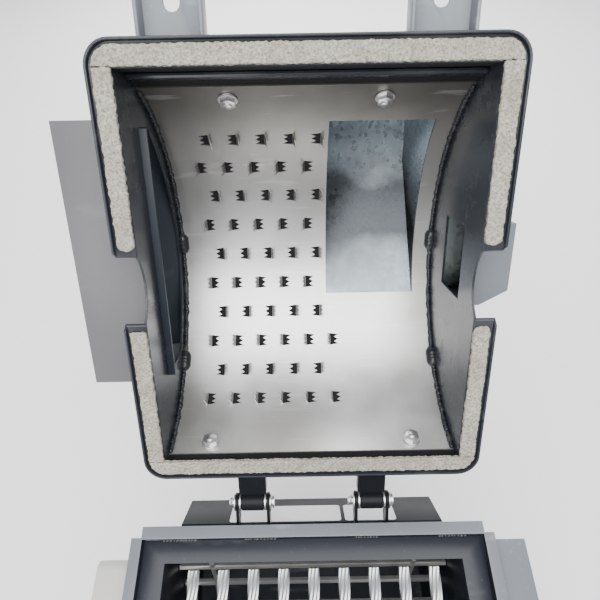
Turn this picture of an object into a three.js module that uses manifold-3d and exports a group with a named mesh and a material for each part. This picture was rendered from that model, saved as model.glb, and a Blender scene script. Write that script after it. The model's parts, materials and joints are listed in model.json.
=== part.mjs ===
// Small drum-type nut huller with its hinged hood swung open.
// Millimetres, +Z up. +X runs along the drum axis, +Y towards the hinge side, -Y towards the operator.
// Every piece is made in the closed position; the hood is then swung open about its hinge.
import * as THREE from 'three';
import { mergeVertices } from 'three/addons/utils/BufferGeometryUtils.js';
import Module from 'manifold-3d';

const wasm = await Module();
wasm.setup();

// ---------------------------------------------------------------- driving dimensions
const GAP = 0.3; // left between touching pieces
const FACET_DEG = 5; // facet angle of the curved plates
const AXIS_Z = 640; // drum axis above the floor
const RIM_RISE = 40; // hood rim plane above the drum axis
const RIM_Z = AXIS_Z + RIM_RISE;

const CHAMBER_HALF = 198; // drum axis centre to the inner face of a hood end wall
const END_WALL = 3;
const SHEET_RADIUS = 250; // inner face of the toothed sheet
const SHEET_WALL = 2;
const SHELL_RADIUS = SHEET_RADIUS + SHEET_WALL + GAP;
const SHELL_WALL = 3;
const SHEET_REAR_DEG = 13;
const SHEET_FRONT_DEG = 154;
const FRONT_WALL_INSET = 12; // the straight front wall stands this far inside the sheet's circle
const FRONT_WALL_Y = SHEET_RADIUS - FRONT_WALL_INSET;
const NOTCH_RADIUS = 57; // half-round shaft notch in the hood ends

const RIM_FLANGE_X = 26; // rim beyond the inner face of an end wall
const RIM_FLANGE_Y = 28; // rim beyond the front wall
const RIM_HALF_X = CHAMBER_HALF + RIM_FLANGE_X;
const RIM_HALF_Y = FRONT_WALL_Y + RIM_FLANGE_Y;
const RIM_CORNER = 28;
const RIM_PLATE = 2.7;
const LIP_WALL = 3;
const LIP_DROP = 9; // lip edge below the rim plane
const RIM_INNER_REAR = SHEET_RADIUS - 4;
const SEAL_WIDTH = 20;
const SEAL_DROP = 10; // underside of the seal below the rim plane

const BORDER_CLEARANCE_X = 9.5; // rim to the border round it
const BORDER_CLEARANCE_Y = 4;
const BORDER_BAR_X = 14.5;
const BORDER_BAR_Y = 16;
const BORDER_INNER_X = RIM_HALF_X + BORDER_CLEARANCE_X;
const BORDER_OUTER_X = BORDER_INNER_X + BORDER_BAR_X;
const BORDER_INNER_Y = RIM_HALF_Y + BORDER_CLEARANCE_Y;
const BORDER_OUTER_Y = BORDER_INNER_Y + BORDER_BAR_Y;
const BORDER_DEPTH = 18;
const LEDGE_INNER_Y = RIM_HALF_Y - 25;
const LEDGE_WALL = 4;
const CASE_WALL = 4;
const CASE_HALF_Y = RIM_HALF_Y - 4;
const CASE_CLEARANCE = 15; // grate's circle to the casing's underside
const CASE_DEPTH = SHEET_RADIUS + CASE_CLEARANCE; // casing below the drum axis

const FEED_WIDTH = 140; // feed opening along the axis
const FEED_MARGIN = 28; // feed opening to the right end wall
const FEED_X1 = CHAMBER_HALF - FEED_MARGIN;
const FEED_X0 = FEED_X1 - FEED_WIDTH;
const FEED_REAR_DEG = 72.5;
const FEED_FRONT_DEG = 138;
const HOPPER_WALL = 1.5;

const TOOTH_ROWS = 10;
const TOOTH_PITCH_X = 38;
const TOOTH_PITCH_DEG = 10.8;
const TOOTH_FIRST_DEG = 131;
const TOOTH_MARGIN = 59; // left end wall to the first tooth
const TOOTH_FIRST_X = TOOTH_MARGIN - CHAMBER_HALF;
const TOOTH_STAGGER = 9;
const TOOTH_HEIGHT = 11;
const TOOTH_LENGTH = 13; // punched hole along the axis
const TOOTH_WIDTH = 19;

const SHEET_BOLT_R = 5;
const BOLT_FRONT_X = 95;
const BOLT_REAR_X = CHAMBER_HALF - 56;
const BOLT_FRONT_DEG = 148.3;
const BOLT_REAR_DEG = 17.2;

const WINDOW_MARGIN = 20; // sheet to the discharge window in the left end wall
const WINDOW_RADIUS = SHEET_RADIUS - WINDOW_MARGIN;
const WINDOW_FLOOR = 62; // above the rim plane
const WINDOW_FRONT = -182;
const WINDOW_REAR = 147;
const CHUTE_REACH = 104; // outlet chute beyond the left end wall
const CHUTE_MARGIN = 9;
const CHUTE_SILL = 9;

const PORT_FRONT = -58; // small port in the right end wall
const PORT_REAR = 40;
const PORT_LOW = 63;
const PORT_HIGH = 140;
const POCKET_REACH = 64;

const HINGE_OVERHANG = 30; // hinge axis behind the border
const HINGE_Y = BORDER_OUTER_Y + HINGE_OVERHANG;
const HINGE_RISE = 2; // hinge axis above the rim plane
const HINGE_Z = RIM_Z + HINGE_RISE;
const HINGE_X = 83;
const HOOD_OPEN_DEG = 128;
const HINGE_PIN_R = 5.9;
const BARREL_R = 12;
const BARREL_LENGTH = 31;
const ARM_WIDTH = 38;
const ARM_HEIGHT = 16;
const ARM_WALL = 3;
const ARM_START_Y = RIM_HALF_Y - 10; // the arm's foot on the rim
const EAR_WALL = 4;

const LUG_X = 137;
const LUG_WIDTH = 68;
const LUG_WEB_LOW = 22;
const LUG_WALL = 4;
const LUG_TIP = 36; // lug tip in front of the border
const LUG_SLOT = 14; // slot in front of the border
const LUG_TIP_Y = -BORDER_OUTER_Y - LUG_TIP;
const LUG_SLOT_Y = -BORDER_OUTER_Y - LUG_SLOT;
const CLAMP_ROD_R = 6;

const SHAFT_R = 17.5;
const DRUM_R = 140;
const DRUM_END_GAP = 14; // drum to an end wall
const DRUM_HALF = CHAMBER_HALF - DRUM_END_GAP;
const TIP_CLEARANCE = 15; // finger tips to the sheet and the grate
const TIP_RADIUS = SHEET_RADIUS - TIP_CLEARANCE;
const FINGER_R = 8;
const FINGER_BARS = 6;
const FINGER_PITCH = 40;
const FIRST_BAR_DEG = 8; // angle of the first bar at rest
const BAR_HEIGHT = 10;
const BAR_WIDTH = 34;

const LEG_SIZE = 40;
const LEG_WALL = 4;
const LEG_INSET = 26; // leg's outer face inside the casing's
const LEG_Y = CASE_HALF_Y - LEG_INSET;
const FOOT_SIZE = 76;
const FOOT_WALL = 6;
const RAIL_Z = 118;

const BELT_OFFSET = 25; // belt outside the border
const BELT_X = BORDER_OUTER_X + BELT_OFFSET;
const BELT_WIDTH = 10;
const BELT_DEPTH = 9.5;
const DRUM_PULLEY_R = 75;
const MOTOR_PULLEY_R = 32;
const PULLEY_WIDTH = 20;
const MOTOR_R = 62;
const MOTOR_LENGTH = 220;
const MOTOR_SHAFT_REACH = 123; // motor's end to the belt
const MOTOR_FRONT = 133; // motor's front in front of the rear legs' outer face
const MOTOR_Y = LEG_Y - MOTOR_FRONT + MOTOR_R;
const MOTOR_Z = RAIL_Z + MOTOR_R + 10;
const MOTOR_RIGHT = BELT_X - MOTOR_SHAFT_REACH;
const MOTOR_LEFT = MOTOR_RIGHT - MOTOR_LENGTH;

const GUARD_REACH = 47; // covers outside the border
const GUARD_OUTER_X = BORDER_OUTER_X + GUARD_REACH;
const GUARD_HALF_Y = BORDER_OUTER_Y - 38;
const GUARD_TOP = RIM_Z - 20;
const GUARD_WALL = 2;

const HOPPER_MOUTH_Y = -SHEET_RADIUS - 50;
const HOPPER_ROOF_Z = AXIS_Z + SHEET_RADIUS + 120;
const HOPPER_TRAY_Z = AXIS_Z + SHEET_RADIUS + 5;
const GRATE_RADIUS = SHEET_RADIUS;
const GRATE_BARS = 13;
const HOOP_X = DRUM_HALF - 34;
const FUNNEL_MOUTH = 40; // funnel's mouth above the motor axis
const FUNNEL_DROP = AXIS_Z - CASE_DEPTH - MOTOR_Z - FUNNEL_MOUTH;
const FUNNEL_RATIO = 0.4;
const APRON_HALF = BORDER_OUTER_X - 48;
const APRON_FAR_Y = BORDER_OUTER_Y + 56;
const APRON_DROP = 143;
const COVER_DOME_R = DRUM_PULLEY_R + 9;
const LEFT_COVER_LOW = AXIS_Z - 150;
const LEG_TOP = AXIS_Z - 80;
const TIE_SIZE = 30;
const CLAMP_PIVOT_Z = RIM_Z - 34;
const SWITCH_LOW = 240;
const PAST = 5; // a cutter runs this far past what it cuts
const CLOSED_CLEARANCE = 1.5; // hood arms and lugs above the border when the hood is shut
const BOLT_HEAD_R = 9.2;
const BOLT_HEAD = 8;
const WASHER_R = 10;
const BEARING_HALF = 56;
const BEARING_PLATE = 12;
const BEARING_HUB_R = 38;
const RUNNING_CLEARANCE = 0.8; // shaft in its bearing
const BUTTON_R = 12;
const BUTTON_FLANGE_R = 15;
const SWITCH_HALF = 35;
const SWITCH_DEPTH = 62;
const SWITCH_HEIGHT = 120;
const SWITCH_WALL = 3;
const HAND_NUT_R = 17;
const ANCHOR_R = 6;
const ANCHOR_OFFSET = 26;
const FAR = 400; // a cutter that only has to clear the whole machine reaches this far
const BOLT_HOLE_R = SHEET_BOLT_R + 0.5;
const SEAL_CLEARANCE = 1; // lip to seal
const SEAL_NOTCH = NOTCH_RADIUS - 8; // the seal stops here beside the shaft
const WINDOW_HEADROOM = 4; // chute roof above the window
const CHUTE_FALL = 46; // chute roof, hood side to mouth
const CHUTE_MOUTH_CUT = 5; // the chute's hollow runs out through both ends
const EAR_LOW = RIM_Z - 34;
const EAR_NOSE = RIM_Z - 22;
const EAR_HIGH = RIM_Z - 12;
const CLAMP_HALF = 16;
const CLAMP_CHEEK = 5;
const CLAMP_PIN_R = 5;
const CLAMP_EYE_R = 12;
const CLAMP_EYE_HALF = 8;
const COVER_CORNER = 14;
const DRIVE_COVER_REAR = BORDER_OUTER_Y - 21;
const MOTOR_PLATE_FRONT = MOTOR_Y - 75;
const MOTOR_PLATE_WALL = 4;
const TIE_WALL = 3;
const UPPER_RAIL = 40; // height of the stand's upper rail
const SHAFT_LEFT = 2 - BORDER_OUTER_X;
const SHAFT_END = 4; // shaft beyond the drum pulley
const FINGER_FIRST_X = 24 - DRUM_HALF;
const FINGER_LAST_X = DRUM_HALF - 19;
const GLAND_R = 10;
const GLAND_DROP = 18;
const START_HEIGHT = 82; // button above the switch box's underside
const STOP_HEIGHT = 40;

// ---------------------------------------------------------------- finishes
const finish = (color, metalness, roughness) => ({ color, metalness, roughness });
const ANTHRACITE = finish(0x3a3f47, 0.2, 0.45);
const BLUE_GREY = finish(0x5d6670, 0.2, 0.45);
const STEEL = finish(0xa9a69f, 0.9, 0.4);
const GALVANISED = finish(0xb9c2c6, 0.9, 0.35);
const ZINC = finish(0xd5d8d8, 0.9, 0.3);
const FOAM = finish(0xb9b4a2, 0, 0.95);
const RUBBER = finish(0x1c1c1e, 0, 0.8);
const CAST = finish(0x4f555c, 0.5, 0.6);
const GREEN = finish(0x2f7d43, 0, 0.4);
const RED = finish(0xb3261e, 0, 0.4);
const LIGHT_PLASTIC = finish(0xc9ccc8, 0, 0.5);

// ---------------------------------------------------------------- solids
const rad = THREE.MathUtils.degToRad;

function solid(geometry) {
  const bare = geometry.clone();
  bare.deleteAttribute('normal');
  bare.deleteAttribute('uv');
  const merged = mergeVertices(bare, 1e-4);
  return new wasm.Manifold(new wasm.Mesh({
    numProp: 3,
    vertProperties: new Float32Array(merged.attributes.position.array),
    triVerts: new Uint32Array(merged.index.array),
  }));
}

const join = (first, ...rest) => rest.reduce((sum, part) => sum.add(part), first);
const cut = (first, ...rest) => rest.reduce((left, part) => left.subtract(part), first);

function box(x0, x1, y0, y1, z0, z1) {
  const geometry = new THREE.BoxGeometry(x1 - x0, y1 - y0, z1 - z0);
  geometry.translate((x0 + x1) / 2, (y0 + y1) / 2, (z0 + z1) / 2);
  return solid(geometry);
}

function rod(axis, from, to, centre, radius, sides = 16) {
  const geometry = new THREE.CylinderGeometry(radius, radius, to - from, sides);
  const middle = (from + to) / 2;
  if (axis === 'x') {
    geometry.rotateZ(-Math.PI / 2);
    geometry.translate(middle, centre[0], centre[1]);
  } else if (axis === 'y') {
    geometry.translate(centre[0], middle, centre[1]);
  } else {
    geometry.rotateX(Math.PI / 2);
    geometry.translate(centre[0], centre[1], middle);
  }
  return solid(geometry);
}

// A rod that points radially out from the drum axis at an angle measured from +Y towards +Z.
function radialRod(x, degrees, from, to, radius, sides) {
  const geometry = new THREE.CylinderGeometry(radius, radius, to - from, sides);
  geometry.translate(0, (from + to) / 2, 0);
  geometry.rotateX(rad(degrees));
  geometry.translate(x, 0, AXIS_Z);
  return solid(geometry);
}

// An outline drawn in (Y, Z) and extruded along X.
function alongX(shape, x0, x1, curveSegments = 12) {
  const geometry = new THREE.ExtrudeGeometry(shape, { depth: x1 - x0, bevelEnabled: false, curveSegments });
  geometry.applyMatrix4(new THREE.Matrix4().set(0, 0, 1, x0, 1, 0, 0, 0, 0, 1, 0, 0, 0, 0, 0, 1));
  return solid(geometry);
}

// An outline drawn in (Z, X) and extruded along Y.
function alongY(shape, y0, y1, curveSegments = 12) {
  const geometry = new THREE.ExtrudeGeometry(shape, { depth: y1 - y0, bevelEnabled: false, curveSegments });
  geometry.applyMatrix4(new THREE.Matrix4().set(0, 1, 0, 0, 0, 0, 1, y0, 1, 0, 0, 0, 0, 0, 0, 1));
  return solid(geometry);
}

// An outline drawn in (X, Y) and extruded along Z.
function alongZ(shape, z0, z1, curveSegments = 6) {
  const geometry = new THREE.ExtrudeGeometry(shape, { depth: z1 - z0, bevelEnabled: false, curveSegments });
  geometry.translate(0, 0, z0);
  return solid(geometry);
}

function polygon(points) {
  return new THREE.Shape(points.map(([a, b]) => new THREE.Vector2(a, b)));
}

function roundedRectangle(x0, x1, y0, y1, corner) {
  const shape = new THREE.Shape();
  shape.moveTo(x0 + corner, y0);
  shape.lineTo(x1 - corner, y0);
  shape.absarc(x1 - corner, y0 + corner, corner, -Math.PI / 2, 0, false);
  shape.lineTo(x1, y1 - corner);
  shape.absarc(x1 - corner, y1 - corner, corner, 0, Math.PI / 2, false);
  shape.lineTo(x0 + corner, y1);
  shape.absarc(x0 + corner, y1 - corner, corner, Math.PI / 2, Math.PI, false);
  shape.lineTo(x0, y0 + corner);
  shape.absarc(x0 + corner, y0 + corner, corner, Math.PI, Math.PI * 1.5, false);
  return shape;
}

// Points of an arc about the drum axis, in (Y, Z). Its facets break at the same angles on every
// radius, so that curved plates nest one inside the other.
function arcPoints(radius, fromDeg, toDeg, facet = FACET_DEG) {
  const angles = [fromDeg];
  const first = Math.floor(fromDeg / facet + 1.05) * facet;
  for (let angle = first; angle < toDeg - facet / 20; angle += facet) angles.push(angle);
  angles.push(toDeg);
  return angles.map((angle) => [Math.cos(rad(angle)) * radius, AXIS_Z + Math.sin(rad(angle)) * radius]);
}

// A ring sector about the drum axis, in (Y, Z).
function sector(inner, outer, fromDeg, toDeg, facet = FACET_DEG) {
  return polygon([
    ...arcPoints(outer, fromDeg, toDeg, facet), ...arcPoints(inner, fromDeg, toDeg, facet).reverse(),
  ]);
}

// ---------------------------------------------------------------- assembly
const machine = new THREE.Group();
const hoodPivot = new THREE.Group();
const hood = new THREE.Group();
hoodPivot.position.set(0, HINGE_Y, HINGE_Z);
hoodPivot.rotation.x = rad(-HOOD_OPEN_DEG);
hood.position.set(0, -HINGE_Y, -HINGE_Z);
hoodPivot.add(hood);
machine.add(hoodPivot);

function place(group, name, body, look) {
  const { vertProperties, triVerts } = body.getMesh();
  const indexed = new THREE.BufferGeometry();
  indexed.setAttribute('position', new THREE.BufferAttribute(new Float32Array(vertProperties), 3));
  indexed.setIndex(new THREE.BufferAttribute(new Uint32Array(triVerts), 1));
  const geometry = indexed.toNonIndexed();
  geometry.computeVertexNormals();
  const mesh = new THREE.Mesh(geometry, new THREE.MeshStandardMaterial(look));
  mesh.name = name;
  group.add(mesh);
}

const SIDES = [['left', -1], ['right', 1]];
const span = (side, near, far) => (side < 0 ? [-far, -near] : [near, far]);

// ---------------------------------------------------------------- hood: shell and end walls
const shellOuter = SHELL_RADIUS + SHELL_WALL;

// The hood's cross-section: a near half-round that drops into a straight front wall.
function hoodSection(radius, frontY) {
  const rear = THREE.MathUtils.radToDeg(Math.asin(RIM_RISE / radius));
  const front = 180 - THREE.MathUtils.radToDeg(Math.acos(frontY / radius));
  return polygon([...arcPoints(radius, rear, front), [-frontY, RIM_Z]]);
}

const feedSector = sector(SHEET_RADIUS - 10, shellOuter + 10, FEED_REAR_DEG, FEED_FRONT_DEG);
const feedCutter = alongX(feedSector, FEED_X0, FEED_X1);
const sheetBolts = [
  ['sheet_bolt_front_left', -BOLT_FRONT_X, BOLT_FRONT_DEG],
  ['sheet_bolt_front_right', BOLT_FRONT_X, BOLT_FRONT_DEG],
  ['sheet_bolt_rear_left', -BOLT_REAR_X, BOLT_REAR_DEG],
  ['sheet_bolt_rear_right', BOLT_REAR_X, BOLT_REAR_DEG],
];
const boltHole = ([, x, degrees]) => radialRod(
  x, degrees, SHEET_RADIUS - PAST, shellOuter + PAST, BOLT_HOLE_R, 8);

const shellBlank = cut(
  alongX(hoodSection(shellOuter, FRONT_WALL_Y + SHELL_WALL), -CHAMBER_HALF + GAP, CHAMBER_HALF - GAP),
  alongX(hoodSection(SHELL_RADIUS, FRONT_WALL_Y), -CHAMBER_HALF - PAST, CHAMBER_HALF + PAST),
  box(-CHAMBER_HALF - PAST, CHAMBER_HALF + PAST, -FRONT_WALL_Y, FRONT_WALL_Y, RIM_Z - 10, RIM_Z + 10),
);
place(hood, 'hood_shell', cut(shellBlank, feedCutter, ...sheetBolts.map(boltHole)), ANTHRACITE);

const shaftNotch = rod('x', -FAR, FAR, [0, AXIS_Z], NOTCH_RADIUS, 24);
const endOutline = hoodSection(shellOuter, FRONT_WALL_Y + SHELL_WALL);
const endWall = (side) => cut(
  alongX(endOutline, ...span(side, CHAMBER_HALF, CHAMBER_HALF + END_WALL)),
  shaftNotch,
);
const windowDisc = rod('x', -CHAMBER_HALF - 10, -CHAMBER_HALF + 10, [0, AXIS_Z], WINDOW_RADIUS, 48);
const windowCutter = windowDisc.intersect(
  box(-CHAMBER_HALF - 20, -CHAMBER_HALF + 20, WINDOW_FRONT, WINDOW_REAR, RIM_Z + WINDOW_FLOOR, RIM_Z + FAR),
);
place(hood, 'hood_end_left', cut(endWall(-1), windowCutter), ANTHRACITE);
const portCutter = box(
  CHAMBER_HALF - 10, CHAMBER_HALF + 10, PORT_FRONT, PORT_REAR, RIM_Z + PORT_LOW, RIM_Z + PORT_HIGH);
place(hood, 'hood_end_right', cut(endWall(1), portCutter), ANTHRACITE);

// ---------------------------------------------------------------- hood: rim and seal
const rimBox = (inset, corner) => roundedRectangle(
  -RIM_HALF_X + inset, RIM_HALF_X - inset, -RIM_HALF_Y + inset, RIM_HALF_Y - inset, corner);
const rimTop = RIM_Z - GAP;
const rimRing = join(
  cut(
    alongZ(rimBox(0, RIM_CORNER), rimTop - RIM_PLATE, rimTop),
    box(-CHAMBER_HALF, CHAMBER_HALF, -FRONT_WALL_Y, RIM_INNER_REAR, RIM_Z - 50, RIM_Z + 50),
  ),
  cut(
    alongZ(rimBox(0, RIM_CORNER), RIM_Z - LIP_DROP, rimTop - 1),
    alongZ(rimBox(LIP_WALL, RIM_CORNER - LIP_WALL), RIM_Z - 50, RIM_Z + 50),
  ),
);
const frontHalf = box(-FAR, FAR, -FAR, 0, RIM_Z - 100, RIM_Z + 100);
const rearHalf = box(-FAR, FAR, 0, FAR, RIM_Z - 100, RIM_Z + 100);
place(hood, 'rim_front', cut(rimRing.intersect(frontHalf), shaftNotch), ANTHRACITE);
place(hood, 'rim_rear', cut(rimRing.intersect(rearHalf), shaftNotch), ANTHRACITE);

const sealInset = LIP_WALL + SEAL_CLEARANCE;
const sealX = RIM_HALF_X - sealInset;
const sealY = RIM_HALF_Y - sealInset;
const sealInnerX = sealX - SEAL_WIDTH;
const sealInnerY = sealY - SEAL_WIDTH;
const sealTop = rimTop - RIM_PLATE - GAP;
const sealRing = cut(
  alongZ(roundedRectangle(-sealX, sealX, -sealY, sealY, RIM_CORNER - sealInset), RIM_Z - SEAL_DROP, sealTop),
  box(-sealInnerX, sealInnerX, -sealInnerY, sealInnerY, RIM_Z - 50, RIM_Z + 50),
  box(-FAR, FAR, -SEAL_NOTCH, SEAL_NOTCH, RIM_Z - 50, RIM_Z + 50),
);
place(hood, 'rim_seal_front', sealRing.intersect(frontHalf), FOAM);
place(hood, 'rim_seal_rear', sealRing.intersect(rearHalf), FOAM);

// ---------------------------------------------------------------- hood: toothed sheet
// A punched tab: a three-pointed crown standing in from the sheet, its base sunk into the wall.
function tooth(x, degrees) {
  const half = TOOTH_WIDTH / 2;
  const crown = polygon([
    [-half + 1.5, 1], [-half, -TOOTH_HEIGHT], [-half / 2, -TOOTH_HEIGHT / 2], [0, -TOOTH_HEIGHT],
    [half / 2, -TOOTH_HEIGHT / 2], [half, -TOOTH_HEIGHT], [half - 1.5, 1],
  ]);
  const geometry = new THREE.ExtrudeGeometry(crown, { depth: SHEET_WALL, bevelEnabled: false });
  const turn = rad(degrees);
  const radial = [Math.cos(turn), Math.sin(turn)];
  geometry.applyMatrix4(new THREE.Matrix4().set(
    0, 0, 1, x - SHEET_WALL / 2,
    radial[1], radial[0], 0, SHEET_RADIUS * radial[0],
    -radial[0], radial[1], 0, SHEET_RADIUS * radial[1] + AXIS_Z,
    0, 0, 0, 1,
  ));
  return solid(geometry);
}

const teeth = [];
for (let row = 0; row < TOOTH_ROWS; row += 1) {
  const even = row % 2 === 1;
  const count = row === 7 || row === 9 ? 6 : 5;
  for (let column = 0; column < count; column += 1) {
    const centre = TOOTH_FIRST_X - (even ? TOOTH_STAGGER : 0) + column * TOOTH_PITCH_X;
    const x = centre + (even ? -TOOTH_LENGTH / 2 : TOOTH_LENGTH / 2);
    teeth.push(tooth(x, TOOTH_FIRST_DEG - row * TOOTH_PITCH_DEG));
  }
}
const sheetHalf = CHAMBER_HALF - 2 * GAP;
const sheetBlank = alongX(
  sector(SHEET_RADIUS, SHEET_RADIUS + SHEET_WALL, SHEET_REAR_DEG, SHEET_FRONT_DEG), -sheetHalf, sheetHalf);
place(hood, 'toothed_sheet', join(cut(sheetBlank, feedCutter, ...sheetBolts.map(boltHole)), ...teeth), STEEL);

for (const [name, x, degrees] of sheetBolts) {
  const inside = SHEET_RADIUS - 3 * GAP;
  const outside = shellOuter + GAP;
  place(hood, name, join(
    radialRod(x, degrees, inside - 1, outside + 10, SHEET_BOLT_R, 8),
    radialRod(x, degrees, inside - 2, inside, WASHER_R, 12),
    radialRod(x, degrees, inside - 8.5, inside - 1.5, BOLT_HEAD_R, 6),
    radialRod(x, degrees, outside, outside + BOLT_HEAD, BOLT_HEAD_R, 6),
  ), ZINC);
}

// ---------------------------------------------------------------- hood: chute, hopper and pocket
const chuteFloor = RIM_Z + WINDOW_FLOOR + GAP;
const chuteStart = -CHAMBER_HALF - END_WALL - GAP;
const chuteEnd = -CHAMBER_HALF - CHUTE_REACH;
const chuteHigh = RIM_Z + WINDOW_RADIUS - RIM_RISE + WINDOW_HEADROOM;
const chuteSection = (inset, past) => polygon([
  [chuteFloor + inset, chuteStart + past],
  [chuteFloor + inset, chuteEnd - past],
  [chuteHigh - CHUTE_FALL - inset, chuteEnd - past],
  [chuteHigh - inset, chuteStart + past],
]);
const chuteFront = WINDOW_FRONT - CHUTE_MARGIN;
const chuteRear = WINDOW_REAR + CHUTE_MARGIN;
const sillEnd = -CHAMBER_HALF + CHUTE_SILL;
place(hood, 'outlet_chute', join(
  cut(
    alongY(chuteSection(0, 0), chuteFront, chuteRear),
    alongY(chuteSection(END_WALL, CHUTE_MOUTH_CUT), chuteFront + END_WALL, chuteRear - END_WALL),
  ),
  box(chuteStart - 5, sillEnd, WINDOW_FRONT + 1, WINDOW_REAR - 1, chuteFloor, chuteFloor + END_WALL),
), BLUE_GREY);

// Feed hopper: two cheeks, a roof that climbs towards the operator and a tray that slides the nuts in.
const onShell = (degrees, radius) => [
  Math.cos(rad(degrees)) * radius, AXIS_Z + Math.sin(rad(degrees)) * radius];
const hopperFoot = shellOuter + GAP;
const cheek = polygon([
  ...arcPoints(hopperFoot, FEED_REAR_DEG - 4, FEED_FRONT_DEG + 4),
  [HOPPER_MOUTH_Y, HOPPER_TRAY_Z], [HOPPER_MOUTH_Y, HOPPER_ROOF_Z], [-FRONT_WALL_Y / 2, HOPPER_ROOF_Z],
]);
const tray = onShell(FEED_FRONT_DEG + 4, hopperFoot);
const roofFoot = onShell(FEED_REAR_DEG - 4, hopperFoot);
const hopperInside = polygon([
  [tray[0] + 4, tray[1] - 14], [tray[0] + 1, tray[1] + 2], [HOPPER_MOUTH_Y - 20, HOPPER_TRAY_Z + 22],
  [HOPPER_MOUTH_Y - 20, HOPPER_ROOF_Z - HOPPER_WALL], [-FRONT_WALL_Y / 2 - 1, HOPPER_ROOF_Z - HOPPER_WALL],
  [roofFoot[0] - 3, roofFoot[1] + 1], [roofFoot[0] - 6, roofFoot[1] - 20], [0, AXIS_Z + SHEET_RADIUS - 60],
]);
place(hood, 'feed_hopper', cut(
  alongX(cheek, FEED_X0 - HOPPER_WALL, FEED_X1 + HOPPER_WALL),
  alongX(hopperInside, FEED_X0, FEED_X1),
), GALVANISED);

const pocketStart = CHAMBER_HALF + END_WALL + GAP;
const pocketEnd = CHAMBER_HALF + POCKET_REACH;
const pocketOutline = (inset, start) => polygon([
  [start, PORT_FRONT - 3 + inset], [pocketEnd - inset, PORT_FRONT - 3 + inset],
  [pocketEnd - inset, PORT_REAR - 12 - inset / 2], [pocketEnd - 36 - inset / 2, PORT_REAR + 8 - inset],
  [start, PORT_REAR + 8 - inset],
]);
place(hood, 'side_pocket', cut(
  alongZ(pocketOutline(0, pocketStart), RIM_Z + PORT_LOW - 3, RIM_Z + PORT_HIGH + 3),
  alongZ(pocketOutline(2, pocketStart - 10), RIM_Z + PORT_LOW - 1, RIM_Z + PORT_HIGH + 1),
), GALVANISED);

// ---------------------------------------------------------------- hood: clamp lugs and hinge arms
for (const [side, sign] of SIDES) {
  const middle = sign * LUG_X;
  const back = -FRONT_WALL_Y - SHELL_WALL - GAP;
  const half = LUG_WIDTH / 2;
  const low = RIM_Z + CLOSED_CLEARANCE;
  const web = RIM_Z + LUG_WEB_LOW;
  place(hood, `clamp_lug_${side}`, cut(
    box(middle - half, middle + half, LUG_TIP_Y, back, low, web + LUG_WALL),
    box(middle - half + LUG_WALL, middle + half - LUG_WALL, LUG_TIP_Y - 5, back + 5, low - 5, web),
    rod('z', web - 5, web + 10, [middle, LUG_SLOT_Y], 8.3, 12),
    box(middle - 8.3, middle + 8.3, LUG_TIP_Y - 5, LUG_SLOT_Y, web - 5, web + 10),
  ), BLUE_GREY);
}

const armLow = RIM_Z + CLOSED_CLEARANCE;
for (const [side, sign] of SIDES) {
  const middle = sign * HINGE_X;
  const half = ARM_WIDTH / 2;
  const channel = cut(
    box(middle - half, middle + half, ARM_START_Y, HINGE_Y - ARM_WALL, armLow, armLow + ARM_HEIGHT),
    box(
      middle - half + ARM_WALL, middle + half - ARM_WALL,
      ARM_START_Y - PAST, HINGE_Y - BARREL_R - 6, armLow + ARM_WALL, armLow + ARM_HEIGHT + PAST),
  );
  const trimmed = cut(
    channel,
    rod('x', middle - half - 1, middle - BARREL_LENGTH / 2, [HINGE_Y, HINGE_Z], BARREL_R + 3, 16),
    rod('x', middle + BARREL_LENGTH / 2, middle + half + 1, [HINGE_Y, HINGE_Z], BARREL_R + 3, 16),
  );
  place(hood, `hinge_arm_${side}`, cut(
    join(
      trimmed,
      rod('x', middle - BARREL_LENGTH / 2, middle + BARREL_LENGTH / 2, [HINGE_Y, HINGE_Z], BARREL_R, 16),
    ),
    rod('x', middle - half - 5, middle + half + 5, [HINGE_Y, HINGE_Z], HINGE_PIN_R + 0.5, 10),
  ), ANTHRACITE);
}

// ---------------------------------------------------------------- base: border, ledge and casing
const borderLow = RIM_Z - BORDER_DEPTH;
const crossBar = (y0, y1) => box(-BORDER_INNER_X - 1, BORDER_INNER_X + 1, y0, y1, borderLow, RIM_Z);
const sideRail = (sign) => {
  const [x0, x1] = span(sign, BORDER_INNER_X, BORDER_OUTER_X);
  return box(x0, x1, -BORDER_INNER_Y - 2, BORDER_INNER_Y + 2, borderLow, RIM_Z);
};
place(machine, 'border_frame', join(
  crossBar(BORDER_INNER_Y, BORDER_OUTER_Y), crossBar(-BORDER_OUTER_Y, -BORDER_INNER_Y),
  sideRail(-1), sideRail(1),
), BLUE_GREY);

const caseInnerX = CHAMBER_HALF + END_WALL;
const ledgeTop = RIM_Z - SEAL_DROP - GAP;
const ledgeX = BORDER_INNER_X - GAP;
const ledgeY = BORDER_INNER_Y - GAP;
for (const [name, half] of [['seal_ledge_front', frontHalf], ['seal_ledge_rear', rearHalf]]) {
  place(machine, name, cut(
    box(-ledgeX, ledgeX, -ledgeY, ledgeY, ledgeTop - LEDGE_WALL, ledgeTop).intersect(half),
    box(-caseInnerX, caseInnerX, -LEDGE_INNER_Y, LEDGE_INNER_Y, ledgeTop - 20, ledgeTop + 20),
    shaftNotch,
  ), BLUE_GREY);
}

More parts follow.
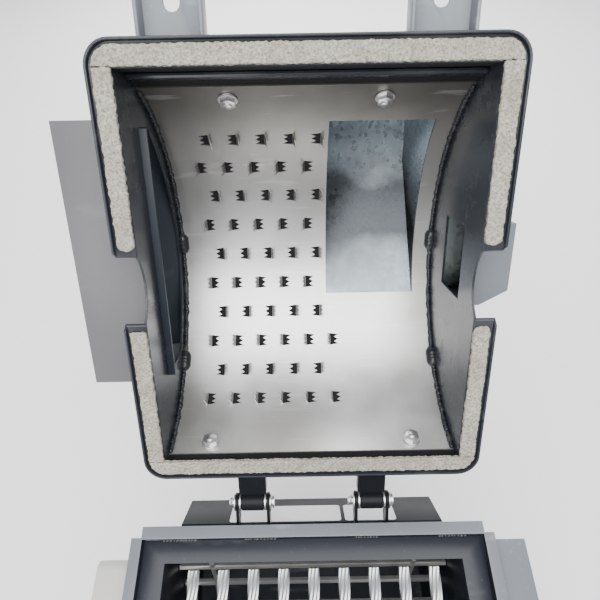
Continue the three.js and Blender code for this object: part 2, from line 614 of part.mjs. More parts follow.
const caseTop = ledgeTop - LEDGE_WALL - GAP;
const caseBottom = AXIS_Z - CASE_DEPTH;
const caseOuterX = caseInnerX + CASE_WALL;
const shaftHole = rod('x', -400, 400, [0, AXIS_Z], SHAFT_R + 2.5, 16);
for (const [side, sign] of SIDES) {
  const [x0, x1] = span(sign, caseInnerX, caseOuterX);
  place(machine, `casing_end_${side}`, cut(
    join(
      box(x0, x1, -CASE_HALF_Y, CASE_HALF_Y, caseBottom, caseTop),
      rod('x', x0, x1, [0, AXIS_Z], NOTCH_RADIUS - 3, 20),
    ),
    shaftHole,
  ), BLUE_GREY);
}
const wallHalfX = caseInnerX - GAP;
for (const [name, y0] of [['casing_front', -CASE_HALF_Y], ['casing_rear', CASE_HALF_Y - CASE_WALL]]) {
  place(machine, name, box(-wallHalfX, wallHalfX, y0, y0 + CASE_WALL, caseBottom, caseTop), BLUE_GREY);
}

// Grate of round bars under the drum, carried by two hoops.
const grateHoop = (x) => alongX(sector(GRATE_RADIUS - 3, GRATE_RADIUS + 6, 190, 350, 16), x - 3, x + 3);
const grateBars = [];
for (let bar = 0; bar < GRATE_BARS; bar += 1) {
  const turn = rad(194 + (152 * bar) / (GRATE_BARS - 1));
  const centre = [Math.cos(turn) * GRATE_RADIUS, AXIS_Z + Math.sin(turn) * GRATE_RADIUS];
  grateBars.push(rod('x', -wallHalfX + 1, wallHalfX - 1, centre, 5, 6));
}
place(machine, 'lower_grate', join(grateHoop(-HOOP_X), grateHoop(HOOP_X), ...grateBars), STEEL);

// Husk funnel below the casing.
function pyramid(halfX, halfY, top, bottom, ratio) {
  const geometry = new THREE.CylinderGeometry(Math.SQRT2, Math.SQRT2 * ratio, top - bottom, 4);
  geometry.rotateY(Math.PI / 4);
  geometry.rotateX(Math.PI / 2);
  geometry.scale(halfX, halfY, 1);
  geometry.translate(0, 0, (top + bottom) / 2);
  return solid(geometry);
}
const funnelTop = caseBottom - GAP;
place(machine, 'husk_funnel', cut(
  pyramid(caseOuterX, CASE_HALF_Y, funnelTop, funnelTop - FUNNEL_DROP, FUNNEL_RATIO),
  pyramid(caseOuterX - 3, CASE_HALF_Y - 3, funnelTop + 0.01, funnelTop - FUNNEL_DROP - 0.01, FUNNEL_RATIO),
), BLUE_GREY);

// ---------------------------------------------------------------- base: hinge brackets and pins
const barBack = BORDER_OUTER_Y + GAP;
for (const [side, sign] of SIDES) {
  const middle = sign * HINGE_X;
  const earNear = ARM_WIDTH / 2 + 0.5;
  const ear = new THREE.Shape();
  ear.moveTo(barBack, EAR_LOW);
  ear.lineTo(HINGE_Y + 4, EAR_NOSE);
  ear.absarc(HINGE_Y, HINGE_Z, BARREL_R, -Math.PI / 6, Math.PI * 0.9, false);
  ear.lineTo(barBack, EAR_HIGH);
  const footHalf = earNear + 1;
  const plate = box(middle - footHalf, middle + footHalf, barBack, barBack + EAR_WALL, EAR_LOW, EAR_HIGH - 2);
  const pinHole = rod('x', middle - 60, middle + 60, [HINGE_Y, HINGE_Z], HINGE_PIN_R + 0.5, 10);
  place(machine, `hinge_bracket_${side}`, cut(
    join(
      plate,
      alongX(ear, middle - earNear - EAR_WALL, middle - earNear, 8),
      alongX(ear, middle + earNear, middle + earNear + EAR_WALL, 8),
    ),
    pinHole,
  ), ANTHRACITE);
  const at = [HINGE_Y, HINGE_Z];
  const barrelEnd = BARREL_LENGTH / 2 + GAP;
  const earFar = earNear + EAR_WALL + GAP;
  place(machine, `hinge_pin_${side}`, join(
    rod('x', middle - earFar - 9, middle + earFar + 6, at, HINGE_PIN_R, 10),
    rod('x', middle - earNear + GAP, middle - barrelEnd, at, BARREL_R - 1, 10),
    rod('x', middle + barrelEnd, middle + earNear - GAP, at, BARREL_R - 1, 10),
    rod('x', middle - earFar - 2.5, middle - earFar, at, BARREL_R - 1, 10),
    rod('x', middle + earFar, middle + earFar + 2.5, at, BARREL_R - 1, 10),
    rod('x', middle + earFar + 3.5, middle + earFar + 6.5, at, HINGE_PIN_R + 3, 10),
  ), ZINC);
}

// ---------------------------------------------------------------- base: rear apron
const apronBack = CASE_HALF_Y + GAP;
const apron = polygon([
  [apronBack, RIM_Z - 75], [BORDER_OUTER_Y + 12, RIM_Z - 80], [APRON_FAR_Y, RIM_Z - APRON_DROP + 4],
  [APRON_FAR_Y + 2, RIM_Z - APRON_DROP - 10], [APRON_FAR_Y - 1, RIM_Z - APRON_DROP - 10],
  [APRON_FAR_Y - 3, RIM_Z - APRON_DROP + 2], [BORDER_OUTER_Y + 9, RIM_Z - 83], [apronBack, RIM_Z - 78],
]);
place(machine, 'rear_apron', alongX(apron, -APRON_HALF, APRON_HALF), ANTHRACITE);

// ---------------------------------------------------------------- base: bearings
for (const [side, sign] of SIDES) {
  const face = caseOuterX + GAP;
  const [x0, x1] = span(sign, face, face + BEARING_PLATE);
  const [n0, n1] = span(sign, face, BORDER_INNER_X - GAP);
  const plate = alongX(bearingPlate(), x0, x1, 3);
  place(machine, `bearing_${side}`, cut(
    join(plate, rod('x', n0, n1, [0, AXIS_Z], BEARING_HUB_R, 16)),
    rod('x', n0 - 5, n1 + 5, [0, AXIS_Z], SHAFT_R + RUNNING_CLEARANCE, 16),
  ), CAST);
}

function bearingPlate() {
  const half = BEARING_HALF;
  const shape = roundedRectangle(-half, half, AXIS_Z - half, AXIS_Z + 22, 14);
  for (const y of [-half + 15, half - 15]) {
    const hole = new THREE.Path();
    hole.absarc(y, AXIS_Z - half + 15, 6, 0, Math.PI * 2, true);
    shape.holes.push(hole);
  }
  return shape;
}

// ---------------------------------------------------------------- base: side covers
const guardNear = BORDER_OUTER_X + GAP;
const sideCover = (outline, sign) => cut(
  outline(0, span(sign, guardNear, GUARD_OUTER_X)),
  outline(GUARD_WALL, span(sign, guardNear - 10, GUARD_OUTER_X - GUARD_WALL)),
);
const leftOutline = (inset) => roundedRectangle(
  -GUARD_HALF_Y + inset, GUARD_HALF_Y - inset,
  LEFT_COVER_LOW + inset, GUARD_TOP - inset, COVER_CORNER - inset);
const leftCover = (inset, [x0, x1]) => alongX(leftOutline(inset), x0, x1, 3);
place(machine, 'bearing_cover_left', sideCover(leftCover, -1), LIGHT_PLASTIC);
const driveCover = (inset, [x0, x1]) => join(
  alongX(polygon([
    [-GUARD_HALF_Y + inset, GUARD_TOP - inset], [-GUARD_HALF_Y + inset, AXIS_Z - 120 + inset],
    [MOTOR_Y - 90 + inset, MOTOR_Z - 60 + inset], [MOTOR_Y + 56 - inset, MOTOR_Z - 60 + inset],
    [DRIVE_COVER_REAR - inset, AXIS_Z - 120 + inset], [DRIVE_COVER_REAR - inset, GUARD_TOP - inset],
  ]), x0, x1),
  rod('x', x0, x1, [0, AXIS_Z], COVER_DOME_R - inset, 32),
);
place(machine, 'drive_cover_right', sideCover(driveCover, 1), BLUE_GREY);

// ---------------------------------------------------------------- base: stand
const legOuterX = caseOuterX + GAP + LEG_SIZE;
const footHole = (x, y) => rod('z', -PAST, FOOT_WALL + PAST, [x, y], ANCHOR_R, 10);
for (const [side, sign] of SIDES) {
  const pieces = [];
  const holes = [];
  for (const end of [-1, 1]) {
    const [x0, x1] = span(sign, legOuterX - LEG_SIZE, legOuterX);
    const [y0, y1] = end < 0 ? [-LEG_Y, -LEG_Y + LEG_SIZE] : [LEG_Y - LEG_SIZE, LEG_Y];
    const [inX0, inX1] = sign < 0 ? [x0 - 5, x1 - LEG_WALL] : [x0 + LEG_WALL, x1 + 5];
    const [inY0, inY1] = end < 0 ? [y0 + LEG_WALL, y1 + 5] : [y0 - 5, y1 - LEG_WALL];
    const middleX = (x0 + x1) / 2;
    const middleY = (y0 + y1) / 2;
    const half = FOOT_SIZE / 2;
    const bar = box(x0, x1, y0, y1, FOOT_WALL - 1, LEG_TOP);
    pieces.push(cut(bar, box(inX0, inX1, inY0, inY1, 0, LEG_TOP + PAST)));
    pieces.push(box(middleX - half, middleX + half, middleY - half, middleY + half, 0, FOOT_WALL));
    holes.push(footHole(middleX + sign * ANCHOR_OFFSET, middleY + end * ANCHOR_OFFSET));
  }
  const [r0, r1] = span(sign, legOuterX - LEG_SIZE, legOuterX - LEG_SIZE + LEG_WALL);
  const railHigh = caseBottom - TIE_SIZE;
  pieces.push(box(r0, r1, -LEG_Y + 1, LEG_Y - 1, RAIL_Z, RAIL_Z + TIE_SIZE));
  pieces.push(box(r0, r1, -LEG_Y + 1, LEG_Y - 1, railHigh - UPPER_RAIL, railHigh));
  place(machine, `stand_${side}`, cut(join(...pieces), ...holes), BLUE_GREY);
}
const tieHalf = legOuterX - LEG_SIZE - GAP;
const tieTube = (inset, past) => box(
  -tieHalf - past, tieHalf + past,
  -LEG_Y + LEG_WALL + inset, -LEG_Y + LEG_WALL + TIE_SIZE - inset,
  RAIL_Z + inset, RAIL_Z + TIE_SIZE - inset);
place(machine, 'stand_tie_front', cut(tieTube(0, 0), tieTube(TIE_WALL, PAST)), BLUE_GREY);

// ---------------------------------------------------------------- drive: motor, pulleys and belt
const plateRear = LEG_Y - LEG_WALL - GAP;
const plateTray = (inset, past) => box(
  -tieHalf - past, tieHalf + past,
  MOTOR_PLATE_FRONT + inset, plateRear - inset,
  RAIL_Z - TIE_SIZE - past, RAIL_Z - inset);
place(machine, 'motor_plate', cut(plateTray(0, 0), plateTray(MOTOR_PLATE_WALL, PAST)), BLUE_GREY);
const footTop = RAIL_Z + GAP;
const motorAt = [MOTOR_Y, MOTOR_Z];
const motorFoot = (x) => box(x - 14, x + 14, MOTOR_Y - 58, MOTOR_Y + 34, footTop, MOTOR_Z - 40);
place(machine, 'motor_body', cut(
  join(
    rod('x', MOTOR_LEFT, MOTOR_RIGHT, motorAt, MOTOR_R - 4, 16),
    rod('x', MOTOR_RIGHT - 16, MOTOR_RIGHT, motorAt, MOTOR_R, 16),
    rod('x', MOTOR_LEFT, MOTOR_LEFT + 44, motorAt, MOTOR_R + 2, 16),
    motorFoot(MOTOR_LEFT + 80), motorFoot(MOTOR_RIGHT - 36),
  ),
  rod('x', MOTOR_RIGHT - 30, MOTOR_RIGHT + 5, motorAt, 15, 12),
), BLUE_GREY);
const boxMiddle = (MOTOR_LEFT + MOTOR_RIGHT) / 2 + 10;
const terminalNear = MOTOR_Y + MOTOR_R + GAP;
place(machine, 'terminal_box', cut(
  join(
    box(boxMiddle - 38, boxMiddle + 38, terminalNear - 14, terminalNear + 38, MOTOR_Z - 34, MOTOR_Z + 34),
    rod('z', MOTOR_Z - 52, MOTOR_Z - 33, [boxMiddle, terminalNear + 19], 11, 12),
  ),
  rod('x', boxMiddle - 60, boxMiddle + 60, motorAt, MOTOR_R + 2.5, 32),
), RUBBER);
place(machine, 'motor_pulley', join(
  rod('x', MOTOR_RIGHT - 28, BELT_X + PULLEY_WIDTH / 2 + 6, motorAt, 12, 12),
  pulley(MOTOR_PULLEY_R, motorAt, 12),
), STEEL);

// A single-groove pulley round the belt's line.
function pulley(radius, at, sides) {
  const half = PULLEY_WIDTH / 2;
  const groove = BELT_WIDTH / 2 + 0.5;
  return join(
    rod('x', BELT_X - half, BELT_X + half, at, radius - BELT_DEPTH - 1, sides),
    rod('x', BELT_X - half, BELT_X - groove, at, radius, sides),
    rod('x', BELT_X + groove, BELT_X + half, at, radius, sides),
  );
}

// Closed belt line: two arcs joined by their outer tangents.
function beltLine(inset) {
  const big = DRUM_PULLEY_R - inset;
  const small = MOTOR_PULLEY_R - inset;
  const dy = MOTOR_Y;
  const dz = MOTOR_Z - AXIS_Z;
  const heading = Math.atan2(dz, dy);
  const lean = Math.acos((big - small) / Math.hypot(dy, dz));
  const shape = new THREE.Shape();
  shape.absarc(0, AXIS_Z, big, heading + lean, heading - lean + 2 * Math.PI, false);
  shape.absarc(MOTOR_Y, MOTOR_Z, small, heading - lean, heading + lean, false);
  return shape;
}
place(machine, 'drive_belt', cut(
  alongX(beltLine(0), BELT_X - BELT_WIDTH / 2, BELT_X + BELT_WIDTH / 2, 10),
  alongX(beltLine(BELT_DEPTH), BELT_X - BELT_WIDTH, BELT_X + BELT_WIDTH, 10),
), RUBBER);
place(machine, 'drum_pulley', cut(
  join(pulley(DRUM_PULLEY_R, [0, AXIS_Z], 20), rod('x', BELT_X - 18, BELT_X + 12, [0, AXIS_Z], 30, 12)),
  rod('x', BELT_X - 30, BELT_X + 30, [0, AXIS_Z], SHAFT_R + GAP, 16),
), CAST);

// ---------------------------------------------------------------- drum
const drumHoles = [0, 90, 180, 270].map((turn) => {
  const at = [Math.cos(rad(turn)) * 80, AXIS_Z + Math.sin(rad(turn)) * 80];
  return rod('x', -DRUM_HALF - 5, DRUM_HALF + 5, at, 18, 6);
});
const drumTube = cut(
  rod('x', -DRUM_HALF, DRUM_HALF, [0, AXIS_Z], DRUM_R, 20),
  rod('x', -DRUM_HALF + 6, DRUM_HALF - 6, [0, AXIS_Z], DRUM_R - 5, 20),
  ...drumHoles,
);
place(machine, 'drum_core', join(
  drumTube, rod('x', SHAFT_LEFT, BELT_X + PULLEY_WIDTH / 2 + SHAFT_END, [0, AXIS_Z], SHAFT_R, 16),
), ANTHRACITE);

// Flat bar with wire-rope fingers; the bars alternate in phase so that the fingers cover the width.
const barFoot = DRUM_R + GAP;
for (let index = 0; index < FINGER_BARS; index += 1) {
  const phase = index % 2 === 0 ? 0 : FINGER_PITCH / 2;
  const fingers = [];
  for (let x = FINGER_FIRST_X + phase; x <= FINGER_LAST_X; x += FINGER_PITCH) {
    const geometry = new THREE.CylinderGeometry(FINGER_R, FINGER_R, TIP_RADIUS - barFoot - 1, 5);
    geometry.translate(x, (TIP_RADIUS + barFoot + 1) / 2, 0);
    fingers.push(solid(geometry));
  }
  const barHalf = DRUM_HALF - 2;
  const bar = box(-barHalf, barHalf, barFoot, barFoot + BAR_HEIGHT, -BAR_WIDTH / 2, BAR_WIDTH / 2);
  const turn = FIRST_BAR_DEG + (360 * index) / FINGER_BARS;
  const comb = join(bar, ...fingers).rotate([turn, 0, 0]).translate([0, 0, AXIS_Z]);
  place(machine, `finger_bar_${index + 1}`, comb, STEEL);
}

// ---------------------------------------------------------------- clamps
for (const [side, sign] of SIDES) {
  const middle = sign * LUG_X;
  const at = [LUG_SLOT_Y, CLAMP_PIVOT_Z];
  const barFront = -BORDER_OUTER_Y - GAP;
  const footFront = barFront - 1;
  const footRear = -CASE_HALF_Y - GAP;
  const cheekPlate = (x0) => box(
    x0, x0 + CLAMP_CHEEK, LUG_SLOT_Y - 9, barFront, CLAMP_PIVOT_Z - 9, RIM_Z - 2);
  place(machine, `clamp_bracket_${side}`, join(
    box(middle - CLAMP_HALF, middle + CLAMP_HALF, footFront, footRear, borderLow - 30, borderLow - GAP),
    cheekPlate(middle - CLAMP_HALF), cheekPlate(middle + CLAMP_HALF - CLAMP_CHEEK),
    rod('x', middle - 20, middle + 20, at, CLAMP_PIN_R, 10),
  ), ANTHRACITE);
  const nutLow = CLAMP_PIVOT_Z - (LUG_WEB_LOW + LUG_WALL + 36);
  place(machine, `swing_bolt_${side}`, cut(
    join(
      rod('x', middle - CLAMP_EYE_HALF, middle + CLAMP_EYE_HALF, at, CLAMP_EYE_R, 14),
      rod('z', nutLow - 24, CLAMP_PIVOT_Z - 8, [middle, LUG_SLOT_Y], CLAMP_ROD_R, 10),
      rod('z', nutLow - 20, nutLow - 1, [middle, LUG_SLOT_Y], HAND_NUT_R, 8),
    ),
    rod('x', middle - 20, middle + 20, at, CLAMP_PIN_R + 0.5, 10),
  ), ZINC);
}

// ---------------------------------------------------------------- switch box with start and stop buttons
const SWITCH_X = -legOuterX + 5;
const SWITCH_Y = -LEG_Y - GAP;
const switchShell = (inset) => [
  SWITCH_X - SWITCH_HALF + inset, SWITCH_X + SWITCH_HALF - inset,
  SWITCH_Y - SWITCH_DEPTH + inset, SWITCH_Y - inset,
  SWITCH_LOW + inset, SWITCH_LOW + SWITCH_HEIGHT - inset];
const buttons = [
  ['button_start', SWITCH_LOW + START_HEIGHT, GREEN],
  ['button_stop', SWITCH_LOW + STOP_HEIGHT, RED],
];
const buttonHoles = buttons.map(([, z]) => rod(
  'y', SWITCH_Y - 70, SWITCH_Y - 50, [SWITCH_X, z], BUTTON_R + 0.5, 12));
place(machine, 'switch_box', cut(
  join(
    box(...switchShell(0)),
    rod('z', SWITCH_LOW - GLAND_DROP, SWITCH_LOW + 1, [SWITCH_X, SWITCH_Y - 30], GLAND_R, 10),
  ),
  box(...switchShell(SWITCH_WALL)),
  ...buttonHoles,
), LIGHT_PLASTIC);
for (const [name, z, look] of buttons) {
  place(machine, name, join(
    rod('y', SWITCH_Y - 68, SWITCH_Y - 50, [SWITCH_X, z], BUTTON_R, 12),
    rod('y', SWITCH_Y - 58, SWITCH_Y - 50, [SWITCH_X, z], BUTTON_FLANGE_R, 12),
  ), look);
}

// Stand the machine on the floor with its outline centred over the origin.
machine.updateMatrixWorld(true);
const outline = new THREE.Box3().setFromObject(machine, true);
const centre = outline.getCenter(new THREE.Vector3());
machine.position.set(-centre.x, -centre.y, -outline.min.z);
machine.updateMatrixWorld(true);

export default machine;
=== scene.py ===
import json
import logging
import math
import random
from dataclasses import dataclass
from enum import Enum
from typing import Callable, Iterable, Optional, Sequence

import bmesh
import bpy
from mathutils import Matrix, Vector


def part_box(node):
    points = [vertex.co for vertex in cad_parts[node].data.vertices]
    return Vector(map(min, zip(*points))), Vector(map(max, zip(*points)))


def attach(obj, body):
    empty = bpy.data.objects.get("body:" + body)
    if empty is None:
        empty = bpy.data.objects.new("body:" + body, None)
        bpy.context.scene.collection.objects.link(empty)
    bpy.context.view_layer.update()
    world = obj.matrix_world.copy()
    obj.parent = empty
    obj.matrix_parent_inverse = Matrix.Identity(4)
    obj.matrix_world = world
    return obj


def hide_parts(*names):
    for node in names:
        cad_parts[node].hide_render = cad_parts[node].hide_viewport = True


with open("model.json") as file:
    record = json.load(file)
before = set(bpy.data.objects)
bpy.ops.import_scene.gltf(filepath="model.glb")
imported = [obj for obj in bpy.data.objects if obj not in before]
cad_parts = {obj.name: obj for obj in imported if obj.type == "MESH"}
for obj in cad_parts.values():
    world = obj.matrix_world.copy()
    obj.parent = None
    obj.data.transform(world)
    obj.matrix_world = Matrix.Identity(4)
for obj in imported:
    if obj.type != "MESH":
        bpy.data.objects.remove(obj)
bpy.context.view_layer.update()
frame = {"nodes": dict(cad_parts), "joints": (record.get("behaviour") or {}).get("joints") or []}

LOG = logging.getLogger("nut_huller")
Point = tuple[float, float]


class Body(Enum):
    """The bodies that pieces ride on."""

    BASE = "base"
    HOOD = "hood"
    DRUM = "drum"
    ROTOR = "motor_rotor"
    SWING_LEFT = "swing_bolt_left"
    SWING_RIGHT = "swing_bolt_right"
    START = "button_start"
    STOP = "button_stop"


class Slot(Enum):
    """The record's material slots."""

    ANTHRACITE = "anthracite_paint"
    BLUE_GREY = "blue_grey_paint"
    COVER = "light_cover"
    STEEL = "raw_steel"
    GALVANISED = "galvanised"
    ZINC = "zinc"
    FOAM = "foam"
    RUBBER = "rubber"
    CAST = "cast"
    GREEN = "green_plastic"
    RED = "red_plastic"


class Along(Enum):
    """The axis that a plate is pushed along or a round piece is turned about."""

    X = 0
    Y = 1
    Z = 2


# ------------------------------------------------------------------ shader maths
class Value:
    """A shader socket that adds, subtracts and multiplies as a number does."""

    def __init__(self, recipe: "Recipe", socket: bpy.types.NodeSocket) -> None:
        """Keeps the socket and the recipe it belongs to."""
        self.recipe = recipe
        self.socket = socket

    def _math(self, operation: str, first: object, second: object) -> "Value":
        """Adds one Math node.

        Args:
            operation: the Math node's operation.
            first: its first value or link.
            second: its second value or link.

        Returns:
            The result's value.
        """
        node = self.recipe.add("ShaderNodeMath", {"operation": operation}, {0: first, 1: second})
        return Value(self.recipe, node.outputs[0])

    def __add__(self, other: object) -> "Value":
        """Returns self + other."""
        return self._math("ADD", self, other)

    def __radd__(self, other: object) -> "Value":
        """Returns other + self."""
        return self._math("ADD", other, self)

    def __sub__(self, other: object) -> "Value":
        """Returns self - other."""
        return self._math("SUBTRACT", self, other)

    def __rsub__(self, other: object) -> "Value":
        """Returns other - self."""
        return self._math("SUBTRACT", other, self)

    def __mul__(self, other: object) -> "Value":
        """Returns self * other."""
        return self._math("MULTIPLY", self, other)

    def __rmul__(self, other: object) -> "Value":
        """Returns other * self."""
        return self._math("MULTIPLY", other, self)


class Recipe:
    """One material's node tree, with a method for each kind of node that the finishes use."""

    def __init__(self, name: str) -> None:
        """Makes the material with its Principled shader and object coordinates.

        Args:
            name: the material's name.
        """
        self.material = bpy.data.materials.new(name)
        self.material.use_nodes = True
        self.tree = self.material.node_tree
        self.shader = self.tree.nodes["Principled BSDF"]
        self.place = self.add("ShaderNodeTexCoord", {}, {}).outputs["Object"]

    def add(self, kind: str, settings: dict, values: dict) -> bpy.types.Node:
        """Adds a node.

        Args:
            kind: the node's type.
            settings: its own settings, and ramp stops under "stops".
            values: socket name or number to a value, a link or a Value.

        Returns:
            The node.
        """
        node = self.tree.nodes.new(kind)
        for key, setting in settings.items():
            if key == "stops":
                self._stops(node.color_ramp, setting)
            else:
                setattr(node, key, setting)
        for key, value in values.items():
            self.feed(node.inputs[key], value)
        return node

    def feed(self, socket: bpy.types.NodeSocket, value: object) -> None:
        """Links a Value or a socket, or sets a plain value.

        Args:
            socket: the socket that is fed.
            value: a plain value, a link or a Value.
        """
        if isinstance(value, Value):
            value = value.socket
        if isinstance(value, bpy.types.NodeSocket):
            self.tree.links.new(value, socket)
        else:
            socket.default_value = value

    @staticmethod
    def _stops(ramp: bpy.types.ColorRamp, stops: Sequence[tuple[float, float]]) -> None:
        """Sets a ramp's grey stops.

        Args:
            ramp: the ramp.
            stops: (place, brightness) pairs, in order.
        """
        while len(ramp.elements) < len(stops):
            ramp.elements.new(0.5)
        for element, (place, grey) in zip(ramp.elements, stops):
            element.position = place
            element.color = (grey, grey, grey, 1)

    def turned(self, degrees: float, stretch: tuple[float, float, float]) -> bpy.types.NodeSocket:
        """Returns object coordinates turned about X and stretched."""
        node = self.add("ShaderNodeMapping", {}, {
            "Vector": self.place, "Rotation": (math.radians(degrees), 0, 0), "Scale": stretch})
        return node.outputs[0]

    def noise(self, scale: float, detail: float = 4, place: object = None) -> Value:
        """Returns noise at that scale, between 0 and 1."""
        node = self.add("ShaderNodeTexNoise", {}, {
            "Vector": place or self.place, "Scale": scale, "Detail": detail})
        return Value(self, node.outputs[0])

    def cells(self, scale: float) -> Value:
        """Makes a broken pattern of cells.

        Args:
            scale: how many cells there are to a metre.

        Returns:
            One random grey for each cell.
        """
        node = self.add("ShaderNodeTexVoronoi", {}, {"Vector": self.place, "Scale": scale})
        grey = self.add("ShaderNodeRGBToBW", {}, {0: node.outputs["Color"]})
        return Value(self, grey.outputs[0])

    def climb(self, axis: "Along", low: float, high: float) -> Value:
        """Makes a value that rises along an axis.

        Args:
            axis: the axis.
            low: the place where it is 0, in metres.
            high: the place where it is 1, in metres.

        Returns:
            The value, held at 0 and 1 past those places.
        """
        split = self.add("ShaderNodeSeparateXYZ", {}, {0: self.place})
        node = self.add("ShaderNodeMapRange", {"clamp": True}, {
            0: split.outputs[axis.value], 1: low, 2: high})
        return Value(self, node.outputs[0])

    def ramp(self, value: Value, stops: Sequence[tuple[float, float]]) -> Value:
        """Returns the value through a grey ramp."""
        node = self.add("ShaderNodeValToRGB", {"stops": stops}, {0: value})
        return Value(self, node.outputs[0])

    def blend(self, factor: Value, low: object, high: object) -> bpy.types.NodeSocket:
        """Mixes two colours.

        Args:
            factor: 0 for low, 1 for high.
            low: a colour or its link.
            high: a colour or its link.

        Returns:
            The mixed colour's socket.
        """
        node = self.add("ShaderNodeMix", {"data_type": "RGBA"}, {0: factor})
        self.feed(node.inputs[6], low)
        self.feed(node.inputs[7], high)
        return node.outputs[2]

    def bump(self, height: Value, distance: float, strength: float = 1.0) -> None:
        """Raises the surface by a height, in metres."""
        node = self.add("ShaderNodeBump", {}, {
            "Height": height, "Distance": distance, "Strength": strength})
        self.feed(self.shader.inputs["Normal"], node.outputs[0])

    def look(self, **sockets: object) -> bpy.types.Material:
        """Feeds the shader's sockets.

        Args:
            sockets: each socket's value, named with _ for each space.

        Returns:
            The material.
        """
        for name, value in sockets.items():
            self.feed(self.shader.inputs[name.replace("_", " ")], value)
        return self.material


def opaque(colour: Sequence[float], strength: float = 1.0) -> tuple[float, float, float, float]:
    """Returns a colour, darkened or lightened by a strength, with full alpha."""
    return (colour[0] * strength, colour[1] * strength, colour[2] * strength, 1.0)


# ------------------------------------------------------------------ finishes
@dataclass(frozen=True)
class Enamel:
    """Satin machine paint with dust, scuffs and small chips."""

    name: str
    colour: tuple[float, float, float]
    worn: tuple[float, float, float]
    roughness: float = 0.36
    wear: float = 0.5
    sheen: float = 0.4

    def make(self) -> bpy.types.Material:
        """Makes the finish.

        Returns:
            The material.
        """
        r = Recipe(self.name)
        cloud = r.noise(5.5)
        speck = r.ramp(r.noise(190, 3), [(0.66, 0), (0.72, 1)])
        scuff = r.ramp(r.noise(34, 8, r.turned(20, (0.25, 1, 1))), [(0.58, 0), (0.75, 1)])
        shade = r.blend(cloud, opaque(self.colour, 0.8), opaque(self.colour, 1.2))
        marked = r.blend(scuff * self.wear + speck * (0.3 * self.wear), shade, opaque(self.worn))
        r.bump(r.noise(420, 2) * 0.5 + cloud, 0.00025, 0.5)
        return r.look(Base_Color=marked, Roughness=cloud * 0.16 + scuff * 0.15 + (self.roughness - 0.08),
                      Metallic=0.0, Specular_IOR_Level=self.sheen)


@dataclass(frozen=True)
class MillSheet:
    """Bare rolled steel sheet with grain, stains and scratches, and painted shade that darkens it towards the
    top.
    """

    name: str = "mill_steel"
    turn: float = 128.0

    def make(self) -> bpy.types.Material:
        """Makes the finish.

        Returns:
            The material.
        """
        r = Recipe(self.name)
        stain = r.ramp(r.noise(7, 6), [(0.36, 0), (0.68, 1)])
        grain = r.noise(60, 6, r.turned(self.turn, (18, 1, 1)))
        scratch = r.ramp(r.noise(26, 9, r.turned(self.turn + 30, (0.3, 6, 1))), [(0.6, 0), (0.66, 1)])
        # painted shade: the sheet darkens towards the top (high Z) to a dark brown-grey, its edge broken a
        # little by the stain noise
        painted_upper_shade = r.ramp(r.climb(Along.Z, 0.68, 1.04) * 0.85 + stain * 0.15, [(0.25, 0), (0.95, 1)])
        clean = r.blend(stain, opaque((0.56, 0.55, 0.53)), opaque((0.8, 0.8, 0.79)))
        base = r.blend(painted_upper_shade * 0.92, clean, opaque((0.13, 0.122, 0.108)))
        lit = r.blend(scratch * 0.3, base, opaque((0.85, 0.85, 0.84)))
        r.bump(grain * 0.35 + stain * 0.7 + scratch * 0.2, 0.0003, 0.4)
        return r.look(Base_Color=lit, Metallic=0.82, Roughness=stain * 0.12 + grain * 0.1 + 0.28)


@dataclass(frozen=True)
class Spangle:
    """Galvanised sheet with its broken crystal pattern, and painted reflection bands along its height."""

    name: str = "galvanised_spangle"
    # the dark and light ends of the painted reflection bands
    dark: tuple[float, float, float] = (0.008, 0.009, 0.011)
    light: tuple[float, float, float] = (0.5, 0.56, 0.6)

    def make(self) -> bpy.types.Material:
        """Makes the finish.

        Returns:
            The material.
        """
        r = Recipe(self.name)
        crystal = r.cells(160)
        cloud = r.noise(9, 6)
        # painted reflection: bright low down, dark in the middle and bright high up along Z, standing in for
        # reflections in the curved sheet
        painted_reflection_bands = r.ramp(r.climb(Along.Z, 0.70, 0.90) + cloud * 0.3 - 0.15, [
            (0.0, 0.7), (0.22, 0.5), (0.38, 0.0), (0.56, 0.0), (0.72, 0.8), (1.0, 1.0)])
        tone = crystal * 0.06 + cloud * 0.12 + painted_reflection_bands * 0.8
        colour = r.blend(tone, opaque(self.dark), opaque(self.light))
        r.bump(crystal * 0.3 + cloud, 0.0003, 0.35)
        return r.look(Base_Color=colour, Metallic=0.88, Roughness=crystal * 0.16 + cloud * 0.14 + 0.16)


@dataclass(frozen=True)
class BrightPlate:
    """Zinc plating or drawn wire, bright with dull patches."""

    name: str
    colour: tuple[float, float, float] = (0.8, 0.8, 0.79)
    roughness: float = 0.22

    def make(self) -> bpy.types.Material:
        """Makes the finish.

        Returns:
            The material.
        """
        r = Recipe(self.name)
        patch = r.noise(110, 5)
        colour = r.blend(patch, opaque(self.colour, 0.7), opaque(self.colour))
        r.bump(r.noise(600, 3), 0.0001, 0.4)
        return r.look(Base_Color=colour, Metallic=0.95, Roughness=patch * 0.2 + self.roughness)


@dataclass(frozen=True)
class FoamStrip:
    """Worn cream felt-like sealing foam with dirt in its pores."""

    name: str = "sealing_foam"

    def make(self) -> bpy.types.Material:
        """Makes the finish.

        Returns:
            The material.
        """
        r = Recipe(self.name)
        pores = r.noise(420, 6)
        dirt = r.ramp(r.noise(45, 6), [(0.38, 0), (0.7, 1)])
        tuft = r.noise(380, 7)
        pale = r.blend(r.ramp(tuft * 0.6 + pores * 0.4, [(0.35, 0), (0.65, 1)]),
                       opaque((0.2, 0.19, 0.145)), opaque((0.56, 0.535, 0.45)))
        colour = r.blend(dirt * 0.45, pale, opaque((0.24, 0.22, 0.17)))
        r.bump(pores + tuft * 1.4, 0.0016, 1.0)
        return r.look(Base_Color=colour, Roughness=0.95)


